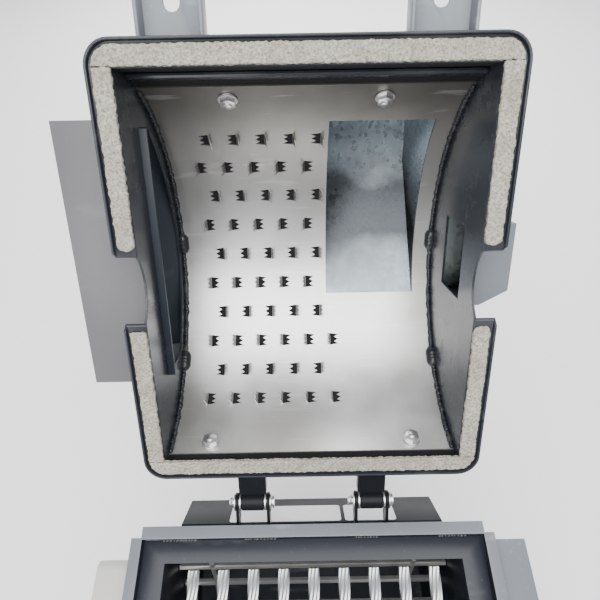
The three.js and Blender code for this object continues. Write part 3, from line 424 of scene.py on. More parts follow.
@dataclass(frozen=True)
class Coarse:
    """A dull material with grain: rubber, a casting or moulded plastic."""

    name: str
    colour: tuple[float, float, float]
    roughness: float
    grain: float
    metallic: float = 0.0

    def make(self) -> bpy.types.Material:
        """Makes the finish.

        Returns:
            The material.
        """
        r = Recipe(self.name)
        fine = r.noise(260, 5)
        cloud = r.noise(18, 4)
        colour = r.blend(cloud, opaque(self.colour, 0.75), opaque(self.colour, 1.25))
        r.bump(fine + cloud, self.grain, 0.7)
        return r.look(Base_Color=colour, Metallic=self.metallic, Roughness=fine * 0.15 + self.roughness)


class Finishes:
    """Every finish of the machine, each made once."""

    def __init__(self) -> None:
        """Makes the materials."""
        self.anthracite = Enamel("anthracite_enamel", (0.024, 0.027, 0.034), (0.1, 0.1, 0.105), 0.27).make()
        self.black = Enamel("black_enamel", (0.009, 0.01, 0.012), (0.05, 0.05, 0.05), 0.36, 0.3, 0.12).make()
        # painted shade: a near-black matte finish that stands in for the shade inside the hood shell
        self.shade = Coarse("painted_shade_black", (0.003, 0.003, 0.004), 0.85, 0.0001).make()
        # painted shade: a dark blue that stands in for the shade inside the outlet chute
        self.night_blue = Enamel("chute_inside_painted_shade", (0.016, 0.022, 0.032), (0.06, 0.07, 0.08), 0.45,
                                 0.3).make()
        self.bead = Enamel("weld_bead_paint", (0.02, 0.021, 0.024), (0.2, 0.2, 0.2), 0.24, 0.35).make()
        self.blue_grey = Enamel("blue_grey_enamel", (0.09, 0.1, 0.115), (0.3, 0.32, 0.34), 0.3, 0.7).make()
        self.border = Enamel("border_enamel", (0.17, 0.185, 0.205), (0.42, 0.44, 0.46), 0.34, 0.6).make()
        # dark ledge paint, also used as painted shade on the inward faces of the border frame and the casing
        self.ledge = Enamel("ledge_paint_and_painted_shade", (0.017, 0.02, 0.027), (0.1, 0.11, 0.12), 0.3, 0.5, 0.3).make()
        self.warm_grey = Enamel("chute_outside_paint", (0.13, 0.127, 0.132), (0.25, 0.25, 0.25), 0.4,
                                0.4).make()
        self.cover = Enamel("cover_cream_enamel", (0.5, 0.49, 0.45), (0.3, 0.25, 0.2), 0.4, 0.35).make()
        self.sheet = MillSheet().make()
        self.galvanised = Spangle().make()
        self.dull_zinc = Spangle("pocket_zinc", (0.004, 0.006, 0.006), (0.1, 0.115, 0.11)).make()
        self.zinc = BrightPlate("zinc_plate").make()
        self.wire = BrightPlate("drawn_wire", (0.72, 0.73, 0.73), 0.34).make()
        self.foam = FoamStrip().make()
        self.rubber = Coarse("black_rubber", (0.018, 0.018, 0.02), 0.68, 0.0003).make()
        self.cast = Coarse("iron_casting", (0.06, 0.067, 0.075), 0.5, 0.0009, 0.2).make()
        self.green = Coarse("green_button_plastic", (0.02, 0.22, 0.06), 0.28, 0.00005).make()
        self.red = Coarse("red_button_plastic", (0.42, 0.015, 0.012), 0.28, 0.00005).make()
        self.label = Coarse("blank_plate_plastic", (0.72, 0.72, 0.72), 0.35, 0.00005).make()


# ------------------------------------------------------------------ bench
class Bench:
    """The modelling tools. Each leaves one mesh object whose place is in its mesh."""

    SHARP = math.radians(40)
    SMOOTH = math.radians(38)
    FLAT = math.radians(0.4)
    MERGE = 1e-6
    MERGE_CAD = 2e-6

    @staticmethod
    def clear() -> None:
        """Selects nothing."""
        bpy.ops.object.select_all(action="DESELECT")

    @staticmethod
    def take(piece: bpy.types.Object) -> None:
        """Selects one piece alone and makes it active.

        Args:
            piece: the piece.
        """
        Bench.clear()
        piece.select_set(True)
        bpy.context.view_layer.objects.active = piece

    @staticmethod
    def fix(piece: bpy.types.Object, name: str) -> bpy.types.Object:
        """Applies a piece's place to its mesh and names it.

        Args:
            piece: the piece.
            name: its name.

        Returns:
            The piece.
        """
        Bench.take(piece)
        bpy.ops.object.transform_apply(location=True, rotation=True, scale=True)
        piece.name = name
        piece.data.name = name
        return piece

    @staticmethod
    def place(piece: bpy.types.Object, spot: Matrix) -> bpy.types.Object:
        """Moves a piece's mesh to a place and returns the piece."""
        piece.matrix_world = spot
        return Bench.fix(piece, piece.name)

    @staticmethod
    def apply(piece: bpy.types.Object, kind: str, **settings: object) -> None:
        """Adds a modifier and applies it.

        Args:
            piece: the piece.
            kind: the modifier's type.
            settings: the modifier's settings.
        """
        Bench.take(piece)
        modifier = piece.modifiers.new(kind.lower(), kind)
        for key, setting in settings.items():
            setattr(modifier, key, setting)
        bpy.ops.object.modifier_apply(modifier=modifier.name)

    @staticmethod
    def soften(piece: bpy.types.Object, width: float, segments: int = 2) -> bpy.types.Object:
        """Rounds a piece's sharp edges and smooths it.

        Args:
            piece: the piece.
            width: how wide the rounding is; 0 for none.
            segments: steps in each rounding.

        Returns:
            The piece.
        """
        if width > 0:
            Bench.apply(piece, "BEVEL", width=width, segments=segments, limit_method="ANGLE",
                        angle_limit=Bench.SHARP, use_clamp_overlap=True)
        Bench.take(piece)
        bpy.ops.object.shade_smooth_by_angle(angle=Bench.SMOOTH)
        return piece

    @staticmethod
    def block(name: str, low: Sequence[float], high: Sequence[float],
              round_: float = 0.0) -> bpy.types.Object:
        """A block between two corners, with rounded edges.

        Args:
            name: the piece's name.
            low: its lowest corner.
            high: its highest corner.
            round_: radius of its edges.

        Returns:
            The piece.
        """
        Bench.clear()
        low_v, high_v = Vector(low), Vector(high)
        bpy.ops.mesh.primitive_cube_add(size=1, location=(low_v + high_v) / 2)
        piece = bpy.context.object
        piece.scale = high_v - low_v
        return Bench.soften(Bench.fix(piece, name), round_)

    @staticmethod
    def plate(name: str, outline: Sequence[Point], along: Along, start: float, end: float,
              round_: float = 0.0) -> bpy.types.Object:
        """A flat outline pushed along an axis.

        Args:
            name: the piece's name.
            outline: its corners: (y, z) along X, (x, z) along Y, (x, y) along Z.
            along: the axis.
            start: where it starts on the axis.
            end: where it ends.
            round_: radius of its edges.

        Returns:
            The piece.
        """
        Bench.clear()
        bpy.ops.mesh.primitive_circle_add(vertices=len(outline), radius=0.1, fill_type="NGON")
        piece = bpy.context.object
        bpy.ops.object.mode_set(mode="EDIT")
        bpy.ops.mesh.select_all(action="DESELECT")
        for corner, (first, second) in zip(list(bmesh.from_edit_mesh(piece.data).verts), outline):
            spot = [first, second]
            spot.insert(along.value, start)
            corner.select_set(True)
            bpy.ops.transform.translate(value=Vector(spot) - corner.co)
            corner.select_set(False)
        push = Vector((0, 0, 0))
        push[along.value] = end - start
        bpy.ops.mesh.select_all(action="SELECT")
        bpy.ops.mesh.extrude_region_move(TRANSFORM_OT_translate={"value": push})
        bpy.ops.mesh.select_all(action="SELECT")
        bpy.ops.mesh.normals_make_consistent(inside=False)
        bpy.ops.object.mode_set(mode="OBJECT")
        return Bench.soften(Bench.fix(piece, name), round_)

    @staticmethod
    def turn(name: str, along: Along, centre: Sequence[float], profile: Sequence[Point],
             sides: int = 48, ring: bool = False) -> bpy.types.Object:
        """A turned piece: a circle extruded and resized from step to step.

        Args:
            name: the piece's name.
            along: the axis it is turned about.
            centre: the point that the profile is measured from.
            profile: (distance along the axis, radius) at each step.
            sides: corners of the circle.
            ring: True where the profile closes on itself round a bore.

        Returns:
            The piece.
        """
        Bench.clear()
        at, radius = profile[0]
        bpy.ops.mesh.primitive_circle_add(
            vertices=sides, radius=radius, location=(0, 0, at), fill_type="NOTHING" if ring else "NGON")
        piece = Bench.fix(bpy.context.object, name)
        bpy.ops.object.mode_set(mode="EDIT")
        bpy.ops.mesh.select_all(action="SELECT")
        steps = list(profile[1:]) + ([profile[0]] if ring else [])
        for next_at, next_radius in steps:
            bpy.ops.mesh.extrude_region_move(TRANSFORM_OT_translate={"value": (0, 0, next_at - at)})
            grow = next_radius / radius
            bpy.ops.transform.resize(value=(grow, grow, 1), center_override=(0, 0, next_at))
            at, radius = next_at, next_radius
        bpy.ops.mesh.select_all(action="SELECT")
        bpy.ops.mesh.remove_doubles(threshold=Bench.MERGE)
        bpy.ops.mesh.normals_make_consistent(inside=False)
        bpy.ops.object.mode_set(mode="OBJECT")
        lay = {Along.X: Matrix.Rotation(math.pi / 2, 4, "Y"), Along.Y: Matrix.Rotation(-math.pi / 2, 4, "X"),
               Along.Z: Matrix.Identity(4)}[along]
        return Bench.soften(Bench.place(piece, Matrix.Translation(Vector(centre)) @ lay), 0)

    @staticmethod
    def cut(piece: bpy.types.Object, *cutters: bpy.types.Object) -> bpy.types.Object:
        """Cuts pieces out of one and removes them.

        Args:
            piece: the piece that is cut.
            cutters: the pieces that cut it.

        Returns:
            The piece.
        """
        for cutter in cutters:
            Bench.apply(piece, "BOOLEAN", operation="DIFFERENCE", solver="EXACT", object=cutter)
            bpy.data.objects.remove(cutter)
        return piece

    @staticmethod
    def weld(name: str, *pieces: bpy.types.Object, solid: bool = False) -> bpy.types.Object:
        """Joins pieces to one.

        Args:
            name: the joined piece's name.
            pieces: what is joined.
            solid: True to merge their volumes.

        Returns:
            The joined piece.
        """
        first = pieces[0]
        if solid:
            for other in pieces[1:]:
                Bench.apply(first, "BOOLEAN", operation="UNION", solver="EXACT", object=other)
                bpy.data.objects.remove(other)
        else:
            Bench.clear()
            for piece in pieces:
                piece.select_set(True)
            bpy.context.view_layer.objects.active = first
            bpy.ops.object.join()
        first.name = name
        return first

    @staticmethod
    def repeat(name: str, pattern: bpy.types.Object, places: Iterable[Matrix]) -> bpy.types.Object:
        """Copies a pattern to each place, each copy with its own mesh, and joins the copies.

        Args:
            name: the joined piece's name.
            pattern: what is copied; it is removed.
            places: one matrix for each copy.

        Returns:
            The joined piece.
        """
        copies = []
        for place in places:
            copy = pattern.copy()
            copy.data = pattern.data.copy()
            copy.matrix_world = place
            bpy.context.scene.collection.objects.link(copy)
            copies.append(copy)
        bpy.data.objects.remove(pattern)
        Bench.take(copies[0])
        for copy in copies:
            copy.select_set(True)
        bpy.ops.object.transform_apply(location=True, rotation=True, scale=True)
        return Bench.weld(name, *copies)

    @staticmethod
    def split(piece: bpy.types.Object, along: Along, at: float) -> bpy.types.Object:
        """Cuts a piece's faces along a plane and keeps both sides.

        Args:
            piece: the piece.
            along: the axis that the plane stands across.
            at: its place on that axis.

        Returns:
            The piece.
        """
        spot, facing = Vector((0, 0, 0)), Vector((0, 0, 0))
        spot[along.value], facing[along.value] = at, 1
        Bench.take(piece)
        bpy.ops.object.mode_set(mode="EDIT")
        bpy.ops.mesh.select_all(action="SELECT")
        bpy.ops.mesh.bisect(plane_co=spot, plane_no=facing)
        bpy.ops.object.mode_set(mode="OBJECT")
        return piece

    @staticmethod
    def refined(node: str, round_: float) -> bpy.types.Object:
        """Copies a CAD node, merged and with rounded edges.

        Args:
            node: the node's name.
            round_: how wide the rounding is.

        Returns:
            The copy.
        """
        name = f"{node}_made"
        piece = bpy.data.objects.new(name, frame["nodes"][node].data.copy())
        bpy.context.scene.collection.objects.link(piece)
        piece.data.materials.clear()
        Bench.take(piece)
        bpy.ops.object.mode_set(mode="EDIT")
        bpy.ops.mesh.select_all(action="SELECT")
        bpy.ops.mesh.remove_doubles(threshold=Bench.MERGE_CAD)
        bpy.ops.mesh.dissolve_limited(angle_limit=Bench.FLAT)
        bpy.ops.object.mode_set(mode="OBJECT")
        return Bench.soften(piece, round_)


# ------------------------------------------------------------------ places
@dataclass(frozen=True)
class Datum:
    """Where the machine stands: all sub-assemblies are drawn from the drum axis, hood shut."""

    axis: Vector
    hinge: Vector
    open_angle: float
    rim: float = 0.040

    @classmethod
    def from_frame(cls) -> "Datum":
        """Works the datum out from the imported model.

        Returns:
            The datum.
        """
        hinge = next(joint for joint in frame["joints"] if joint["name"] == "hood_hinge")
        drum = next(joint for joint in frame["joints"] if joint["name"] == "drum_spin")
        return cls(Vector(drum["pos_m"]), Vector(hinge["pos_m"]), math.radians(hinge["range_deg"][1]))

    def settle(self, piece: bpy.types.Object, on_hood: bool, back: bool = False) -> bpy.types.Object:
        """Moves a piece from the drawing place to the machine, or back.

        Args:
            piece: the piece.
            on_hood: True where it swings open with the hood.
            back: True to move it back.

        Returns:
            The piece.
        """
        place = Matrix.Translation(self.axis)
        if on_hood:
            to_hinge = Matrix.Translation(self.hinge)
            place = to_hinge @ Matrix.Rotation(-self.open_angle, 4, "X") @ to_hinge.inverted() @ place
        return Bench.place(piece, place.inverted() if back else place)


@dataclass(frozen=True)
class Patch:
    """A second finish, on the faces that a test picks out by centre and normal."""

    material: bpy.types.Material
    holds: Callable[[Vector, Vector], bool]


class Shop:
    """Fits finished pieces to the machine."""

    def __init__(self, datum: Datum, finishes: Finishes) -> None:
        """Keeps the datum and the finishes."""
        self.datum = datum
        self.finishes = finishes

    def fit(self, piece: bpy.types.Object, material: bpy.types.Material, slot: Slot, body: Body,
            *nodes: str, drawn: bool = True, other: Optional["Patch"] = None) -> bpy.types.Object:
        """Gives a piece its finish, its place and its body.

        Args:
            piece: the piece.
            material: its material.
            slot: the record's slot; not used.
            body: the body it rides on.
            nodes: the CAD nodes it stands for.
            drawn: True where it is still at its drawing place.
            other: a second finish and the faces that have it, told at the drawing place.

        Returns:
            The piece.
        """
        on_hood = body is Body.HOOD
        if other and not drawn:
            self.datum.settle(piece, on_hood, back=True)
        piece.data.materials.clear()
        piece.data.materials.append(material)
        if other:
            piece.data.materials.append(other.material)
        for face in piece.data.polygons:
            face.material_index = int(bool(other) and other.holds(face.center, face.normal))
        if drawn or other:
            self.datum.settle(piece, on_hood)
        if nodes:
            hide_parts(*nodes)
        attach(piece, body.value)
        LOG.info("%s on %s, %d faces", piece.name, body.value, len(piece.data.polygons))
        return piece

    def refine(self, node: str, material: bpy.types.Material, slot: Slot, body: Body,
               round_: float = 0.0008, other: Optional[Patch] = None) -> None:
        """Fits a refined copy of a CAD node in its place."""
        self.fit(Bench.refined(node, round_), material, slot, body, node, drawn=False, other=other)


def arc(radius: float, start: float, end: float, step: float = 2.0) -> list[Point]:
    """Makes an arc about the drum axis.

    Args:
        radius: the arc's radius.
        start: its first angle, in degrees.
        end: its last angle, in degrees.
        step: about how many degrees apart its points are.

    Returns:
        Its points, in (y, z).
    """
    count = max(2, round(abs(end - start) / step) + 1)
    turns = [math.radians(start + (end - start) * i / (count - 1)) for i in range(count)]
    return [(radius * math.cos(turn), radius * math.sin(turn)) for turn in turns]


def rounded(x0: float, x1: float, y0: float, y1: float, corners: Sequence[float]) -> list[Point]:
    """Makes a rectangle with a radius at each corner.

    Args:
        x0: its left side.
        x1: its right side.
        y0: its low side.
        y1: its high side.
        corners: the four radii, from the lowest left corner round.

    Returns:
        Its points.
    """
    steps = 8
    centres = ((x0, y0, 1, 1, 180), (x1, y0, -1, 1, 270), (x1, y1, -1, -1, 0), (x0, y1, 1, -1, 90))
    points: list[Point] = []
    for (x, y, to_x, to_y, first), corner in zip(centres, corners):
        if corner == 0:
            points.append((x, y))
            continue
        for step in range(steps + 1):
            turn = math.radians(first + step * 90 / steps)
            points.append((x + corner * (to_x + math.cos(turn)), y + corner * (to_y + math.sin(turn))))
    return points


# ------------------------------------------------------------------ hood
@dataclass
class Hood:
    """The hood's shell, its end walls, its rim and the sealing foam."""

    shop: Shop
    half: float = 0.198
    wall: float = 0.003
    radius: float = 0.2523
    front: float = 0.238
    notch: float = 0.057
    rim_x: float = 0.224
    rim_y: float = 0.266
    rim_corner: float = 0.028
    rim_wall: float = 0.0027
    lip_drop: float = 0.009
    lip_wall: float = 0.003
    rim_rear: float = 0.246
    gap: float = 0.0003
    foam_width: float = 0.0205
    foam_gap: float = 0.0032
    foam_depth: float = 0.0056
    foam_round: float = 0.0022
    foam_grain: float = 0.0013
    foam_fray: float = 0.0034
    foam_start: float = 0.05
    bar_heights: tuple[float, float] = (0.072, 0.0985)
    port_y: tuple[float, float] = (-0.058, 0.040)
    port_z: tuple[float, float] = (0.063, 0.140)
    inside_limit: float = 0.2535
    feed: tuple[float, float] = (0.030, 0.170)
    feed_angles: tuple[float, float] = (72.5, 138.0)

    def section(self, radius: float, front: float) -> list[Point]:
        """Makes the hood's outline, open at the rim plane.

        Args:
            radius: the bend's radius.
            front: how far forward the straight wall stands.

        Returns:
            Its points, in (y, z).
        """
        rim = self.shop.datum.rim
        rear_angle = math.degrees(math.asin(rim / radius))
        front_angle = 180 - math.degrees(math.acos(front / radius))
        return arc(radius, rear_angle, front_angle) + [(-front, rim)]

    def feed_cutter(self) -> bpy.types.Object:
        """Makes the block that cuts the feed opening.

        Returns:
            The cutter.
        """
        low, high = self.feed_angles
        outline = arc(self.radius + 0.02, low, high) + arc(self.radius - 0.02, high, low)
        return Bench.plate("feed_cutter", outline, Along.X, *self.feed)

    def build(self) -> None:
        """Builds every part of the hood's body."""
        self.build_shell()
        self.build_ends()
        self.build_rim()
        self.build_foam()
        self.build_front_bar()

    def build_front_bar(self) -> None:
        """Builds the round-edged bar that closes the sheet's front edge."""
        low, high = self.bar_heights
        bar = Bench.block("front_bar", (-self.half + 0.001, -self.front + 0.0005, low),
                          (self.half - 0.001, -self.front + 0.0075, high), 0.0034)
        self.shop.fit(bar, self.shop.finishes.anthracite, Slot.ANTHRACITE, Body.HOOD)

    def build_shell(self) -> None:
        """Builds the bent shell with its straight front wall."""
        look = self.shop.finishes
        inner = self.section(self.radius, self.front)
        outer = self.section(self.radius + self.wall, self.front + self.wall)
        shell = Bench.plate("hood_shell_made", outer + inner[::-1], Along.X, -self.half + self.gap,
                            self.half - self.gap)
        Bench.cut(shell, self.feed_cutter())
        Bench.soften(shell, 0.0004, 1)
        # painted shade: the shell's inner faces get the near-black shade finish so the sheet's holes read
        # dark
        inside = Patch(look.shade, lambda centre, normal: (
            normal.yz.dot(centre.yz) < 0 and centre.yz.length < self.inside_limit))
        self.shop.fit(shell, look.anthracite, Slot.ANTHRACITE, Body.HOOD, "hood_shell", other=inside)

    def build_ends(self) -> None:
        """Builds the end walls with the discharge window and the side port."""
        look = self.shop.finishes
        outline = self.section(self.radius + self.wall, self.front + self.wall)
        notch_profile = [(-0.3, self.notch), (0.3, self.notch)]
        for name, start in (("hood_end_left", -self.half - self.wall), ("hood_end_right", self.half)):
            end = Bench.plate(f"{name}_made", outline, Along.X, start, start + self.wall)
            Bench.cut(end, Bench.turn("notch", Along.X, (0, 0, 0), notch_profile))
            before, after, rim = start - 0.01, start + 0.02, self.shop.datum.rim
            if name.endswith("left"):
                cutter = Bench.plate("window", Window().outline(rim), Along.X, before, after)
            else:
                cutter = Bench.block("port", (before, self.port_y[0], rim + self.port_z[0]),
                                     (after, self.port_y[1], rim + self.port_z[1]))
            Bench.cut(end, cutter)
            Bench.soften(end, 0.0005, 1)
            self.shop.fit(end, look.anthracite, Slot.ANTHRACITE, Body.HOOD, name)

    def build_rim(self) -> None:
        """Builds the flange and lip, in two halves between the shaft notches."""
        top = self.shop.datum.rim - self.gap
        far = 0.4
        for name, gone in (("rim_front", (0.0, far)), ("rim_rear", (-far, 0.0))):
            flange = Bench.plate("flange", self.rim_outline(0), Along.Z, top - self.rim_wall, top)
            Bench.cut(flange, Bench.block(
                "mouth", (-self.half, -self.front, top - 0.05), (self.half, self.rim_rear, top + 0.05)))
            lip = Bench.plate("lip", self.rim_outline(0), Along.Z, top - self.lip_drop, top - 0.001)
            Bench.cut(lip, Bench.plate(
                "lip_inside", self.rim_outline(self.lip_wall), Along.Z, top - 0.05, top + 0.05))
            rim = Bench.weld(f"{name}_made", flange, lip, solid=True)
            Bench.cut(
                rim,
                Bench.block("half", (-far, gone[0], top - 0.1), (far, gone[1], top + 0.1)),
                Bench.turn("notch", Along.X, (0, 0, 0), [(-0.3, self.notch), (0.3, self.notch)]),
            )
            Bench.soften(rim, 0.0009)
            self.shop.fit(rim, self.shop.finishes.anthracite, Slot.ANTHRACITE, Body.HOOD, name)

    def rim_outline(self, inset: float) -> list[Point]:
        """Makes the rim's rounded outline.

        Args:
            inset: how far it is moved in.

        Returns:
            Its points, in (x, y).
        """
        corner = self.rim_corner - inset
        x, y = self.rim_x - inset, self.rim_y - inset
        return rounded(-x, x, -y, y, [corner] * 4)

    def build_foam(self) -> None:
        """Builds the six sealing strips, frayed along their edges."""
        inset = self.lip_wall + self.foam_gap
        x, y = self.rim_x - inset, self.rim_y - inset
        corner, end, width = self.rim_corner - inset, 0.007, self.foam_width
        start = self.foam_start
        strips = {
            "foam_front": ((-x, x, -y, -y + width), (corner, corner, 0.001, 0.001)),
            "foam_rear": ((-x, x, y - width, y), (0.001, 0.001, corner, corner)),
            "foam_left_front": ((-x, -x + width, -y + width, -start), (0.001, 0.001, end, end)),
            "foam_right_front": ((x - width, x, -y + width, -start), (0.001, 0.001, end, end)),
            "foam_left_rear": ((-x, -x + width, start, y - width), (0.002, 0.002, 0.001, 0.001)),
            "foam_right_rear": ((x - width, x, start, y - width), (end, end, 0.001, 0.001)),
        }
        top = self.shop.datum.rim - self.gap - self.rim_wall
        fibre = bpy.data.textures.new("fibre", "CLOUDS")
        fibre.noise_scale = 0.005
        for name, (edges, corners) in strips.items():
            strip = Bench.plate(name, rounded(*edges, corners), Along.Z, top - self.foam_depth,
                                top - self.gap, self.foam_round)
            Bench.apply(strip, "REMESH", mode="VOXEL", voxel_size=self.foam_grain)
            Bench.apply(strip, "DISPLACE", texture=fibre, texture_coords="LOCAL",
                        strength=self.foam_fray, mid_level=0.6)
            Bench.take(strip)
            bpy.ops.object.shade_smooth()
            side = "rim_seal_front" if "front" in name else "rim_seal_rear"
            self.shop.fit(strip, self.shop.finishes.foam, Slot.FOAM, Body.HOOD, side)


@dataclass(frozen=True)
class Window:
    """The discharge window in the left end wall."""

    radius: float = 0.230
    floor: float = 0.062
    front: float = -0.182
    rear: float = 0.147

    def outline(self, rim: float) -> list[Point]:
        """Makes the window's outline.

        Args:
            rim: the rim plane's height over the drum axis.

        Returns:
            Its points, in (y, z).
        """
        low = rim + self.floor
        rear_angle = math.degrees(math.acos(self.rear / self.radius))
        front_angle = math.degrees(math.acos(self.front / self.radius))
        front_high = self.radius * math.sin(math.radians(front_angle))
        start = [(self.rear, low)] + arc(self.radius, rear_angle, front_angle)
        return start + ([(self.front, low)] if front_high > low else [])


# ------------------------------------------------------------------ lining
@dataclass
class Lining:
    """The punched sheet inside the hood, its bolts and the weld beads along its ends."""

    shop: Shop
    radius: float = 0.250
    wall: float = 0.002
    half: float = 0.1974
    angles: tuple[float, float] = (13.0, 154.0)
    rows: int = 10
    pitch: float = 0.038
    row_angle: float = 10.8
    first_angle: float = 131.0
    first_x: float = -0.139
    stagger: float = 0.009
    reach: float = 0.013
    width: float = 0.019
    height: float = 0.011
    lean: float = -22.0
    bolt_radius: float = 0.0102
    washer_radius: float = 0.0121
    shank_radius: float = 0.005
    tooth_wall: float = 0.0016
    long_rows: tuple[int, int] = (7, 9)
    bead_x: float = 0.1955
    bead_angles: tuple[float, float] = (14.0, 153.0)
    bead_sizes: tuple[float, float] = (0.0030, 0.0043)
    bead_steps: tuple[float, float] = (0.9, 1.25)
    lump_angles: tuple[float, float] = (92, 48)
    lump_size: tuple[float, float, float] = (0.0100, 0.0125, 0.0095)

    def crown(self, reach: float) -> list[Point]:
        """Returns the three-pointed outline of a tooth, from its fold line outwards."""
        half = self.width / 2
        return [(0, -half), (reach, -half * 0.8), (reach * 0.48, -half * 0.4), (reach * 0.94, 0),
                (reach * 0.48, half * 0.4), (reach, half * 0.8), (0, half)]

    def tooth_places(self, lean: int) -> list[Matrix]:
        """Returns the places of the teeth that point to one side.

        Args:
            lean: 1 for the rows whose holes point to +X, -1 for the others.

        Returns:
            One matrix for each tooth, from the top of the curve to its place.
        """
        places = []
        for row in range(self.rows):
            even = row % 2 == 1
            if even != (lean == 1):
                continue
            turn = math.radians(self.first_angle - row * self.row_angle - 90)
            for column in range(6 if row in self.long_rows else 5):
                centre = self.first_x - (self.stagger if even else 0) + column * self.pitch
                fold = centre - lean * self.reach / 2
                places.append(Matrix.Rotation(turn, 4, "X") @ Matrix.Translation((fold, 0, 0)))
        return places

    def build(self, hood: Hood) -> None:
        """Builds the lining.

        Args:
            hood: the hood that it lines.
        """
        self.build_sheet(hood)
        self.build_bolts()
        self.build_beads()

    def build_sheet(self, hood: Hood) -> None:
        """Builds the curved sheet, punches its holes and folds up the teeth.

        Args:
            hood: the hood that it lines.
        """
        low, high = self.angles
        outline = arc(self.radius + self.wall, low, high, 1.5) + arc(self.radius, high, low, 1.5)
        sheet = Bench.plate("toothed_sheet_made", outline, Along.X, -self.half, self.half)
        Bench.cut(sheet, hood.feed_cutter())
        tabs = []
        for lean in (1, -1):
            points = [(lean * u, v) for u, v in self.crown(self.reach)]
            hole = Bench.plate("hole", points, Along.Z, self.radius - 0.006, self.radius + 0.006)
            Bench.cut(sheet, Bench.repeat("holes", hole, self.tooth_places(lean)))
            crown = [(v, self.radius - u) for u, v in self.crown(self.height)]
            wall = self.tooth_wall
            tab = Bench.plate("tab", crown, Along.X, -wall * (lean == 1), wall * (lean == -1))
            fold = Matrix.Translation((0, 0, self.radius))
            bend = Matrix.Rotation(math.radians(self.lean) * -lean, 4, "Y")
            Bench.place(tab, fold @ bend @ fold.inverted())
            Bench.soften(tab, 0.0003, 1)
            tabs.append(Bench.repeat(f"tabs_{lean}", tab, self.tooth_places(lean)))
        Bench.soften(sheet, 0)
        sheet = Bench.weld("toothed_sheet_made", sheet, *tabs)
        self.shop.fit(sheet, self.shop.finishes.sheet, Slot.STEEL, Body.HOOD, "toothed_sheet")

    def build_bolts(self) -> None:
        """Builds the four hex bolts with their washers and nuts."""
        spots = {"front_left": (-0.095, 148.3), "front_right": (0.095, 148.3),
                 "rear_left": (-0.142, 17.2), "rear_right": (0.142, 17.2)}
        for name, (x, angle) in spots.items():
            face, hexagon, at = self.radius - 0.0009, self.bolt_radius, (x, 0, 0)
            head = Bench.turn("head", Along.Z, at, [
                (face - 0.0085, hexagon * 0.82), (face - 0.0078, hexagon), (face - 0.0018, hexagon)], 6)
            washer = Bench.turn("washer", Along.Z, at, [
                (face - 0.0018, self.washer_radius - 0.0003), (face - 0.0003, self.washer_radius),
                (face, self.washer_radius)], 32)
            shank = Bench.turn("shank", Along.Z, at, [
                (face - 0.011, self.shank_radius - 0.0008), (face - 0.0105, self.shank_radius),
                (face + 0.0135, self.shank_radius)], 20)
            nut = Bench.turn("nut", Along.Z, at, [
                (0.2557, hexagon), (0.2625, hexagon), (0.2635, hexagon * 0.85)], 6)
            bolt = Bench.weld(f"bolt_{name}", head, washer, shank, nut)
            Bench.place(bolt, Matrix.Rotation(math.radians(angle - 90), 4, "X"))
            self.shop.fit(bolt, self.shop.finishes.zinc, Slot.ZINC, Body.HOOD, f"sheet_bolt_{name}")

    def build_beads(self) -> None:
        """Builds the weld beads along both end arcs, with two heavier lumps on each."""
        dice = random.Random(11)
        for name, x in (("left", -self.bead_x), ("right", self.bead_x)):
            places = []
            angle, last = self.bead_angles
            while angle < last:
                size = dice.uniform(*self.bead_sizes)
                spot = Matrix.Rotation(math.radians(angle - 90), 4, "X") @ Matrix.Translation(
                    (x + dice.uniform(-0.0006, 0.0006), 0, self.radius - 0.0016))
                places.append(spot @ Matrix.Diagonal((size, size * 1.25, size, 1)))
                angle += dice.uniform(*self.bead_steps)
            for lump in self.lump_angles:
                for shift in (-1.2, 0.0, 1.2):
                    spot = Matrix.Rotation(math.radians(lump + shift - 90), 4, "X") @ Matrix.Translation(
                        (x, 0, self.radius - 0.002))
                    places.append(spot @ Matrix.Diagonal((*self.lump_size, 1)))
            Bench.clear()
            bpy.ops.mesh.primitive_ico_sphere_add(subdivisions=2, radius=1)
            bead = Bench.repeat(f"weld_bead_{name}", bpy.context.object, places)
            Bench.soften(bead, 0)
            self.shop.fit(bead, self.shop.finishes.bead, Slot.ANTHRACITE, Body.HOOD)


